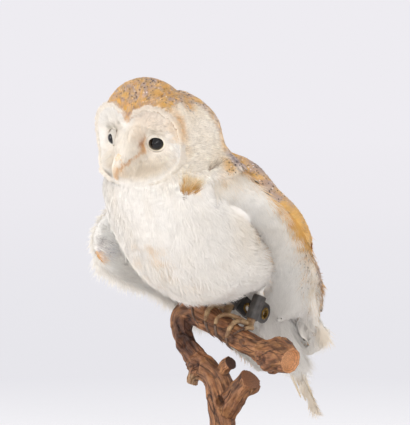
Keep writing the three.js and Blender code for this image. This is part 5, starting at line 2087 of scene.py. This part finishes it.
    def bill_bristles(self, skin: SkinMap) -> None:
        """Stiff bristles that run down over the bill, rooted in front of whatever is foremost there."""
        rng = self.rng
        count = 900
        x, high = rng.normal(-0.6, 3.0, count), rng.uniform(-20, 6, count)
        front = HEAD.face_at(x, high) - 1.0
        shapes = [copy_node(name, name + "_form") for name in ("beak_upper", "beak_lower")]
        ahead = -HEAD.world_way(np.array([[0, 1.0, 0]]))[0]
        for item in shapes:
            tree = BVHTree.FromPolygons(points_of(item.data).tolist(),
                                        [tuple(face.vertices) for face in item.data.polygons])
            for k, start in enumerate(HEAD.to_world(np.stack([x, np.full(count, 90.0), high], axis=1))):
                hit = tree.ray_cast(start.tolist(), ahead.tolist())[3]
                front[k] = max(front[k], 90 - hit) if hit is not None else front[k]
            bpy.data.objects.remove(item)
        roots = HEAD.to_world(np.stack([x, front + 0.1, high], axis=1))
        way = HEAD.world_way(np.stack([x * 0.04, np.full_like(x, 0.06), np.full_like(x, -1.0)], axis=1))
        bend = HEAD.world_way(np.stack([-x * 0.04, np.full_like(x, -0.12), np.zeros_like(x)], axis=1))
        up = HEAD.world_way(np.stack([x * 0.15, np.ones_like(x), np.full_like(x, 0.4)], axis=1))
        tone, _ = body_markings(HEAD.to_world(np.stack([x, HEAD.face_at(x, high), high], axis=1)), up, way)
        coat = Coat(Plume.DOWN, 6.5, 1.5, 1.6, strands=8, steps=2, sway=0.07, fan=0.15, barb=0.2)
        laid = lay_free(coat, roots, way, bend, up, (tone, tone), skin, rng)
        dress_plumes("bill_bristles", coat, laid, rng)

    def ridge_bristles(self, skin: SkinMap) -> None:
        """Bristles that stand off the near side of the ridge between the eyes."""
        rng = self.rng
        count = 450
        high, x = rng.uniform(-8, 20, count), rng.uniform(5.0, 13, count)
        roots = HEAD.to_world(np.stack([x, HEAD.face_at(x, high) - 1.5, high], axis=1))
        one = np.ones_like(x)
        way = HEAD.world_way(np.stack([one * 0.25, one * 0.7, one * -0.6], axis=1))
        bend = HEAD.world_way(np.stack([one * 0.1, one * -0.2, one * -0.3], axis=1))
        up = HEAD.world_way(np.stack([one * 0.6, one, one * 0.5], axis=1))
        tone, _ = body_markings(roots, np.broadcast_to(HEAD.world_way([[0, 1, 0]]), roots.shape), way)
        coat = Coat(Plume.DOWN, 6.5, 1.5, 0.6, strands=7, steps=2, sway=0.12, fan=0.25, barb=0.2, open=0.5)
        laid = lay_free(coat, roots, way, bend, up, (tone, tone), skin, rng)
        dress_plumes("ridge_bristles", coat, laid, rng)

    def disc_ruff(self, skin: SkinMap) -> None:
        """The ruff of small stiff feathers round the facial disc."""
        rng = self.rng
        count = 2100
        turn = rng.uniform(0.06, 1.0, count) * math.pi
        side = rng.choice([-1.0, 1.0], count)
        reach = HEAD.disc_edge(turn) * rng.uniform(0.93, 1.0, count) * np.where(side < 0, 0.955, 1)
        x, high = side * np.sin(turn) * reach, np.cos(turn) * reach
        roots = HEAD.to_world(np.stack([x, HEAD.face_at(x, high) - 1.6, high], axis=1))
        out = np.stack([x / reach, np.zeros_like(x), high / reach], axis=1)
        way = HEAD.world_way(out * 0.85 + np.array([0, 0.2, 0]))
        bend = HEAD.world_way(out * -0.1 + np.array([0, -0.4, 0]))
        up = HEAD.world_way(np.array([0, 1.0, 0]) - out * 0.3)
        tone, _ = body_markings(roots, up, way)
        tone = mix(tone, linear("F3E6D4")[None], np.full(count, 0.55))
        coat = Coat(Plume.DOWN, 4.6, 1.2, 0.3, strands=7, steps=2, sway=0.1, fan=0.2, barb=0.18)
        laid = lay_free(coat, roots, way, bend, up, (tone, tone), skin, rng)
        dress_plumes("disc_ruff", coat, laid, rng)

    def brushes(self, skin: SkinMap) -> None:
        """The tufts that stand up on the left shoulder: a golden brush and a brown-grey tuft behind it."""
        rng = np.random.default_rng(11)
        kinds = (
            ("golden_brush", (44, -111, 305), (51, -106, 306), (0.26, 0.22, 1.0), 21, 30, "B9813A", "F3E2BC"),
            ("golden_brush_core", (45, -111, 304), (52, -105, 305), (0.3, 0.26, 0.9), 14, 34, "9A6426",
             "DDAA55"),
            ("golden_brush_root", (43, -112, 304), (46, -110, 304), (0.7, 0.6, 0.3), 4.5, 6, TONE.slate,
             TONE.brown),
            ("brown_tuft", (58, -91, 325), (62, -79, 332), (0.25, 0.4, 0.9), 11, 17, TONE.brown, TONE.cream),
        )
        for name, start, end, lean, length, count, root_tone, tip_tone in kinds:
            share = rng.uniform(0, 1, count)
            roots = np.array(start) + (np.array(end) - np.array(start)) * share[:, None] + rng.normal(0, 1.3,
                    (count, 3))
            roots, up, _ = skin.nearest(roots)
            way = unit(np.array(lean) + up * 0.12 + (share[:, None] - 0.5) * np.array([0.4, 0.33, 0.0])
                       + rng.normal(0, 0.14, (count, 3)))
            coat = Coat(Plume.DOWN, length, 1.8, 1.2, strands=7, steps=3, sway=0.12, fan=0.24, barb=0.16,
                        shade=0.12)
            laid = lay_free(coat, roots, way, up * 0.06, up, (linear(root_tone), linear(tip_tone)), skin, rng)
            dress_plumes(name, coat, laid, rng)

    def bill_and_claws(self) -> None:
        """Horn: both halves of the bill, and the eight claws."""
        for name in ("beak_upper", "beak_lower"):
            item = copy_node(name, name.replace("beak", "bill"))
            remesh(item, 0.45, 8)
            dress(item, Horn("pale_bill_horn", "F0DCC2", "E9BE93", 1.2, 0.5), (name,))
        for side in ("left", "right"):
            for number in range(1, 5):
                node = f"talon_{side}_{number}"
                item = copy_node(node, f"claw_{side}_{number}")
                apply_modifier(item, "SUBSURF", levels=2, render_levels=2)
                pick(item)
                bpy.ops.object.shade_smooth()
                dress(item, Horn("dark_claw_horn", "33231A", "6B4C34", 1.2, 0.38), (node,))

    def toe_skin(self, skin: bpy.types.Object) -> None:
        """Gives the toes' faces their own scaly finish."""
        skin.data.materials.append(ToeSkin().material())
        first = np.array([face.vertices[0] for face in skin.data.polygons])
        low = points_of(skin.data)[first, 2] < self.shank_mm
        slots = ((first >= self.body_count) & (first < self.feet_count) & low).astype(np.int32)
        skin.data.polygons.foreach_set("material_index", slots)

    def build(self) -> None:
        """Builds the whole bird."""
        skin = self.make_skin()
        self.paint_skin(skin)
        dress(skin, Plumage("downy_owl_skin"), self.FLESH)
        self.toe_skin(skin)
        smap = SkinMap(skin)
        body = (smap.triangles < self.body_count).all(axis=1)
        self.coat(smap, self.zones(smap.middles), body)
        self.bill_bristles(smap)
        self.ridge_bristles(smap)
        self.disc_ruff(smap)
        self.brushes(smap)
        for wing in self.wings:
            for above in (True, False):
                wing.dress_face(above, smap)
            wing.fringe(smap)
            dress(wing.flight(), FlightVane())
        self.armpit.down(smap, self.rng)
        tail = Tail()
        dress(tail.feathers(), FlightVane())
        tail.down(smap)
        self.eyes()
        self.bill_and_claws()

    def coat(self, smap: SkinMap, zones_at: dict[str, np.ndarray], body: np.ndarray) -> None:
        """The body's coat, piece by piece from tail to face, so that each lies over the one behind it."""
        wide, y, z = smap.middles.T
        x, _, high = HEAD.to_local(smap.middles).T
        open_skin = body * (1 - zones_at["wing"]) * (1 - zones_at["face"])
        head = zones_at["head"]
        facing = unit(smap.normals[smap.triangles].sum(1))
        back = smooth(0.25, 0.45, facing @ unit(np.array([0, 0.85, 0.52]))) * (1 - head)
        belly = smooth(262, 238, z + 0.25 * y)
        eyes = smooth(6.0, 7.4, np.hypot(np.abs(x) - HEAD.eye_spacing / 2, high - 2))
        down = {"strands": 9, "steps": 2, "barb": 0.24}
        pieces = (
            ("back_feathers", Coat(Plume.CONTOUR, 14, 6.5, 1.8, strands=7, steps=3, barb=0.4), 0.085,
             open_skin * back),
            ("belly_down", Coat(Plume.DOWN, 20, 2.6, 1.8, stand=0.035, fan=0.26, **down), 0.24,
             open_skin * belly * (1 - back) * (1 - head)),
            ("breast_down", Coat(Plume.DOWN, 16, 2.3, 1.5, stand=0.01, fan=0.24, **down), 0.33,
             open_skin * (1 - belly) * (1 - back) * (1 - head)),
            ("belly_wisps", Coat(Plume.DOWN, 27, 3.4, 2.8, stand=0.16, strands=9, steps=3, sway=0.28,
                                 fan=0.4, barb=0.22, open=0.45), 0.045,
             open_skin * smooth(262, 238, z) * (1 - back) * (1 - head)),
            ("flank_wisps", Coat(Plume.DOWN, 19, 3.0, 2.6, stand=0.2, strands=9, steps=3, sway=0.34,
                                 fan=0.42, barb=0.22, open=0.45), 0.06,
             open_skin * np.maximum(smooth(34, 44, wide), smooth(2, -12, wide)) * smooth(222, 236, z)
             * smooth(312, 290, z) * (1 - back) * (1 - head)),
            ("head_feathers", Coat(Plume.DOWN, 8.5, 1.8, 2.2, strands=8, steps=2, fan=0.24, barb=0.24,
                                   shade=0.07), 0.37, open_skin * head),
            ("face_disc", Coat(Plume.DOWN, 6, 1.3, 0.8, strands=6, steps=2, fan=0.3, barb=0.18), 0.98,
             body * zones_at["face"] * eyes),
        )
        for title, coat, amount, share in pieces:
            laid = lay_on_skin(smap, coat, lambda _points, _facing, part=share * amount: part, self.rng)
            dress_plumes(title, coat, laid, self.rng)


# ------------------------------------------------------------------ what it wears, its perch and base


@dataclass
class Cuffs:
    """Leather cuffs on both shanks with a brass eyelet through each flap."""

    voxel_mm: float = 0.5

    def build(self) -> None:
        """Softens each cuff's edges and makes its eyelet."""
        for side in ("left", "right"):
            cuff = copy_node(f"cuff_{side}", f"leather_cuff_{side}")
            remesh(cuff, self.voxel_mm, 5)
            dress(cuff, Leather(), (f"cuff_{side}",))
            eyelet = copy_node(f"eyelet_{side}", f"brass_eyelet_{side}")
            remesh(eyelet, 0.38, 6)
            dress(eyelet, AgedBrass(), (f"eyelet_{side}",))


@dataclass(frozen=True)
class Limb:
    """One limb of the vine: its curve, and its radius at shares of its length, in mm."""

    curve: tuple
    radius: tuple
    sawn: str = ""  # what colour its sawn end is


@dataclass
class Perch:
    """A crooked old vine: an arm that doubles back over its own stem, with a sawn stub and a knot."""

    voxel_mm: float = 0.95
    limbs: tuple[Limb, ...] = (
        Limb(((-30, 0, 138), (-43, 1, 152), (-52, 2, 168), (-51, 4, 182), (-40, 5, 187), (-18, 5, 178),
              (6, 5, 168), (30, 4, 158), (54, 3, 151), (68, 2, 149), (84, 0, 146)),
             ((0, 12), (0.16, 11), (0.3, 13), (0.45, 13.5), (0.62, 12), (0.74, 12), (0.87, 18), (0.94, 17.5),
              (1, 12.6)), "C68C5E"),
        Limb(((0, 0, 22), (0, 0, 45), (1, 0, 68), (-1, 0, 95), (-6, 0, 122), (-32, 0, 140)),
             ((0, 13.5), (0.4, 12.8), (0.8, 15), (1, 12))),
        Limb(((4, 0, 92), (18, -1, 108), (37, -2, 126)), ((0, 11.5), (1, 11.5)), "8A5C3E"),
        Limb(((-2, 0, 126), (7, -2, 136), (14, -3, 140)), ((0, 7.5), (1, 7.5)), "4A3022"),
        Limb(((-22, -2, 134), (-31, -4, 126), (-34, -5, 116)), ((0, 11), (1, 6)), "A5754C"),
    )

    knots: tuple = ((60, -14, 146, 8), (-42, -9, 156, 7), (-22, -11, 136, 7.5), (9, -11, 103, 6.5),
                    (6, -12, 74, 7), (32, -10, 162, 5))

    def along_limb(self, limb: Limb, points: np.ndarray):
        """Where points lie round and along one limb.

        Args:
            limb: the limb.
            points: places in mm.

        Returns:
            Distance outside its mean surface, places (round, round, along) in mm, and shares of its length.
        """
        shares = np.linspace(0, 1, 160)
        axis = curve_points(list(limb.curve), shares)
        ahead = unit(np.gradient(axis, axis=0))
        run = np.concatenate([[0], np.cumsum(np.linalg.norm(np.diff(axis, axis=0), axis=1))])
        near = np.concatenate([np.argmin(((part[:, None] - axis[None]) ** 2).sum(2), axis=1)
                               for part in np.array_split(points, 24)])
        off = points - axis[near]
        beyond = np.sum(off * ahead[near], axis=1)
        across = off - ahead[near] * beyond[:, None]
        up = unit(np.array([0, -1.0, 0]) - ahead[near] * (ahead[near] @ np.array([0, -1.0, 0]))[:, None])
        side = np.cross(ahead[near], up)
        reach = np.linalg.norm(across, axis=1)
        turn = np.arctan2(np.sum(across * side, axis=1), np.sum(across * up, axis=1)) + run[near] * 0.012
        grain = np.stack([np.cos(turn) * reach, np.sin(turn) * reach, run[near] + beyond], axis=1)
        return np.linalg.norm(off, axis=1) - stations(list(limb.radius), shares[near]), grain, shares[near]

    def build(self) -> None:
        """Rounds the solid off, works the bark into it and marks its sawn ends."""
        item = copy_node("perch_branch", "vine_branch")
        remesh(item, self.voxel_mm, 4)
        mesh = item.data
        points, normals = points_of(mesh), normals_of(mesh)
        outside = np.full(len(points), 1e9)
        grain, share, owner = np.zeros_like(points), np.zeros(len(points)), np.zeros(len(points), int)
        for number, limb in enumerate(self.limbs):
            away, place, part = self.along_limb(limb, points)
            mine = away < outside
            outside[mine], share[mine], owner[mine] = away[mine], part[mine], number
            grain[mine] = place[mine] + number * 37
        ends = np.zeros(len(points))
        for number, limb in enumerate(self.limbs):
            tip = curve_points(list(limb.curve), np.array([0.97, 1.0]))
            facing = normals @ unit(tip[1] - tip[0])
            if limb.sawn:
                ends = np.maximum(ends, (owner == number) * smooth(0.62, 0.8, facing)
                                  * smooth(0.93, 0.97, share))
        drawn = grain * (1, 1, 0.12)
        ridges = noise(drawn, 3.6, 51) * 0.75 + noise(drawn, 1.8, 52) * 0.45
        cracks = smooth(0.3, 0.02, np.abs(noise(grain * (1, 1, 0.16), 6.5, 54)))
        lumps = noise(points, 9, 55) * 0.9
        relief = (ridges * 1.3 - cracks * 1.2 + lumps * 1.5) * (1 - ends)
        knot = np.zeros(len(points))
        for *centre, radius in self.knots:
            away = np.linalg.norm(points - np.array(centre), axis=1) / radius
            knot = np.maximum(knot, np.exp(-((away / 0.55) ** 2)))
            relief = relief + 2.2 * np.exp(-(((away - 1) / 0.35) ** 2)) - 2.6 * np.exp(-((away / 0.5) ** 2))
        arm_end = curve_points(list(self.limbs[0].curve), np.array([1.0]))[0]
        cup = ends * smooth(11.5, 8, np.linalg.norm(points - arm_end, axis=1)) * (owner == 0) * 1.9
        move_points(mesh, points + normals * (relief - 0.5 - cup * 2.4)[:, None])
        tone = mix(linear("93603F")[None], linear("B57C52")[None],
                   smooth(-0.5, 0.7, noise(grain * (1, 1, 0.3), 9, 53)))
        tone = mix(tone, linear("3A241A")[None], cracks * 0.6 * (1 - ends))
        for number, limb in enumerate(self.limbs):
            if limb.sawn:
                tone = mix(tone, linear(limb.sawn)[None], ends * (owner == number))
        pale = smooth(12, 6, np.linalg.norm(points - np.array([-33, -8, 120]), axis=1))
        tone = mix(tone, linear("C9A57C")[None], pale * 0.6)
        # Painted shade: the inner side of the crook, where the arm doubles back over the stem, is darkened as if
        # in shadow; it goes out on the Speckle attribute with the knots' dark centres.
        inside = smooth(-53, -46, points[:, 0]) * smooth(-24, -34, points[:, 0]) * smooth(140, 150,
                points[:, 2]) * smooth(184, 176, points[:, 2])
        tint(mesh, tone, np.maximum(inside * 0.75, knot))
        mesh.attributes.new(GRAIN, "FLOAT_VECTOR", "POINT").data.foreach_set("vector",
                grain.astype(np.float32).ravel())
        pick(item)
        bpy.ops.object.shade_smooth()
        dress(item, VineBark(), ("perch_branch",))
        mesh.materials.append(SawnWood().material())
        first = np.array([face.vertices[0] for face in mesh.polygons])
        mesh.polygons.foreach_set("material_index", (ends[first] > 0.55).astype(np.int32))


@dataclass
class Base:
    """A turned round base."""

    radius: float = 88
    height: float = 22

    def build(self) -> None:
        """Turns the profile with a fillet and a bead."""
        profile = [(0, 0), (86.5, 0), (88, 1.2), (88, 8), (87, 9.6), (84.6, 10.6), (84.2, 12), (83, 15.5),
                   (80.6, 18.8), (77.5, 20.9), (74, 21.8), (60, 22), (0, 22)]
        around = 96
        points, faces = [], []
        for radius, height in profile:
            for k in range(around):
                turn = 2 * math.pi * k / around
                points.append((radius * math.cos(turn), radius * math.sin(turn), height))
        for row in range(len(profile) - 1):
            for k in range(around):
                a, b = row * around + k, row * around + (k + 1) % around
                faces.append((a, b, b + around, a + around))
        item = mesh_of("turned_base", np.array(points, float), faces)
        pick(item)
        bpy.ops.object.mode_set(mode="EDIT")
        bpy.ops.mesh.select_all(action="SELECT")
        bpy.ops.mesh.remove_doubles(threshold=0.00001)
        bpy.ops.mesh.normals_make_consistent(inside=False)
        bpy.ops.object.mode_set(mode="OBJECT")
        bpy.ops.object.shade_smooth_by_angle(angle=math.radians(38))
        dress(item, TurnedWood(), ("stand_base",))


# ------------------------------------------------------------------ studio


@dataclass
class Studio:
    """Pale sweep, soft light from the front, the left and below, and a long lens on the owl's left front."""

    azimuth: float = 40
    elevation: float = 3
    distance_mm: float = 2500
    target: tuple[float, float, float] = (-12.37, -10.38, 282)
    lens: float = 231.07
    lamps: tuple = (  # name, place and size in metres, power in watts
        ("key", (2.5, -0.9, 1.8), 0.6, 6),
        ("soft_left", (-1.4, -2.2, 1.6), 2.2, 4),
        ("front", (1.75, -1.55, 0.95), 0.5, 10),
        ("low_left", (-1.3, -1.9, 0.4), 1.0, 15),
        ("table_reflector", (0.5, -1.15, 0.1), 0.8, 2.2),
    )

    def build(self) -> None:
        """Makes the floor, world, lamps and camera."""
        deselect()
        bpy.ops.mesh.primitive_circle_add(vertices=128, radius=14, fill_type="TRIFAN",
                                          location=(0, 0, -0.0002))
        floor = bpy.context.object
        floor.name = "paper_sweep"
        floor.data.materials.append(StudioSurface().material())
        self.world()
        for lamp in self.lamps:
            self.lamp(*lamp)
        self.camera()
        bpy.context.scene.view_settings.view_transform = "Standard"

    def world(self) -> None:
        """An even pale room that the camera sees as the backdrop."""
        world = bpy.data.worlds.new("studio")
        bpy.context.scene.world = world
        world.use_nodes = True
        tree = world.node_tree
        tree.nodes.clear()
        seen = seen_share(tree)
        room = add_node(tree, "Background", {"Color": (*linear("FFFFFF"), 1), "Strength": 0.9})
        back = add_node(tree, "Background", {"Color": (*linear(StudioSurface().top), 1), "Strength": 1.0})
        both = add_node(tree, "MixShader", {0: seen, 1: room.outputs[0], 2: back.outputs[0]})
        add_node(tree, "OutputWorld", {"Surface": both.outputs[0]})

    def lamp(self, name: str, place: tuple[float, float, float], size: float, power: float) -> None:
        """A soft square lamp, in metres and watts, aimed at the owl."""
        data = bpy.data.lights.new(name, "AREA")
        data.shape = "SQUARE"
        data.size = size
        data.energy = power
        item = bpy.data.objects.new(name, data)
        bpy.context.scene.collection.objects.link(item)
        item.location = place
        aim = Vector(self.target) * MM - item.location
        item.rotation_euler = aim.to_track_quat("-Z", "Y").to_euler()

    def camera(self) -> None:
        """The camera at the owl's left front, a little above it."""
        data = bpy.data.cameras.new("camera")
        data.lens = self.lens
        data.sensor_width = 36
        data.sensor_fit = "HORIZONTAL"
        data.clip_end = 60
        item = bpy.data.objects.new("camera", data)
        bpy.context.scene.collection.objects.link(item)
        turn, rise = math.radians(self.azimuth), math.radians(self.elevation)
        back = Vector((math.sin(turn) * math.cos(rise), -math.cos(turn) * math.cos(rise), math.sin(rise)))
        item.location = (Vector(self.target) + back * self.distance_mm) * MM
        item.rotation_euler = (-back).to_track_quat("-Z", "Y").to_euler()
        bpy.context.scene.camera = item


def main() -> None:
    """Builds the owl, what it wears, its perch and the studio."""
    Owl().build()
    Cuffs().build()
    Perch().build()
    Base().build()
    Studio().build()


if __name__ == "__main__":
    main()
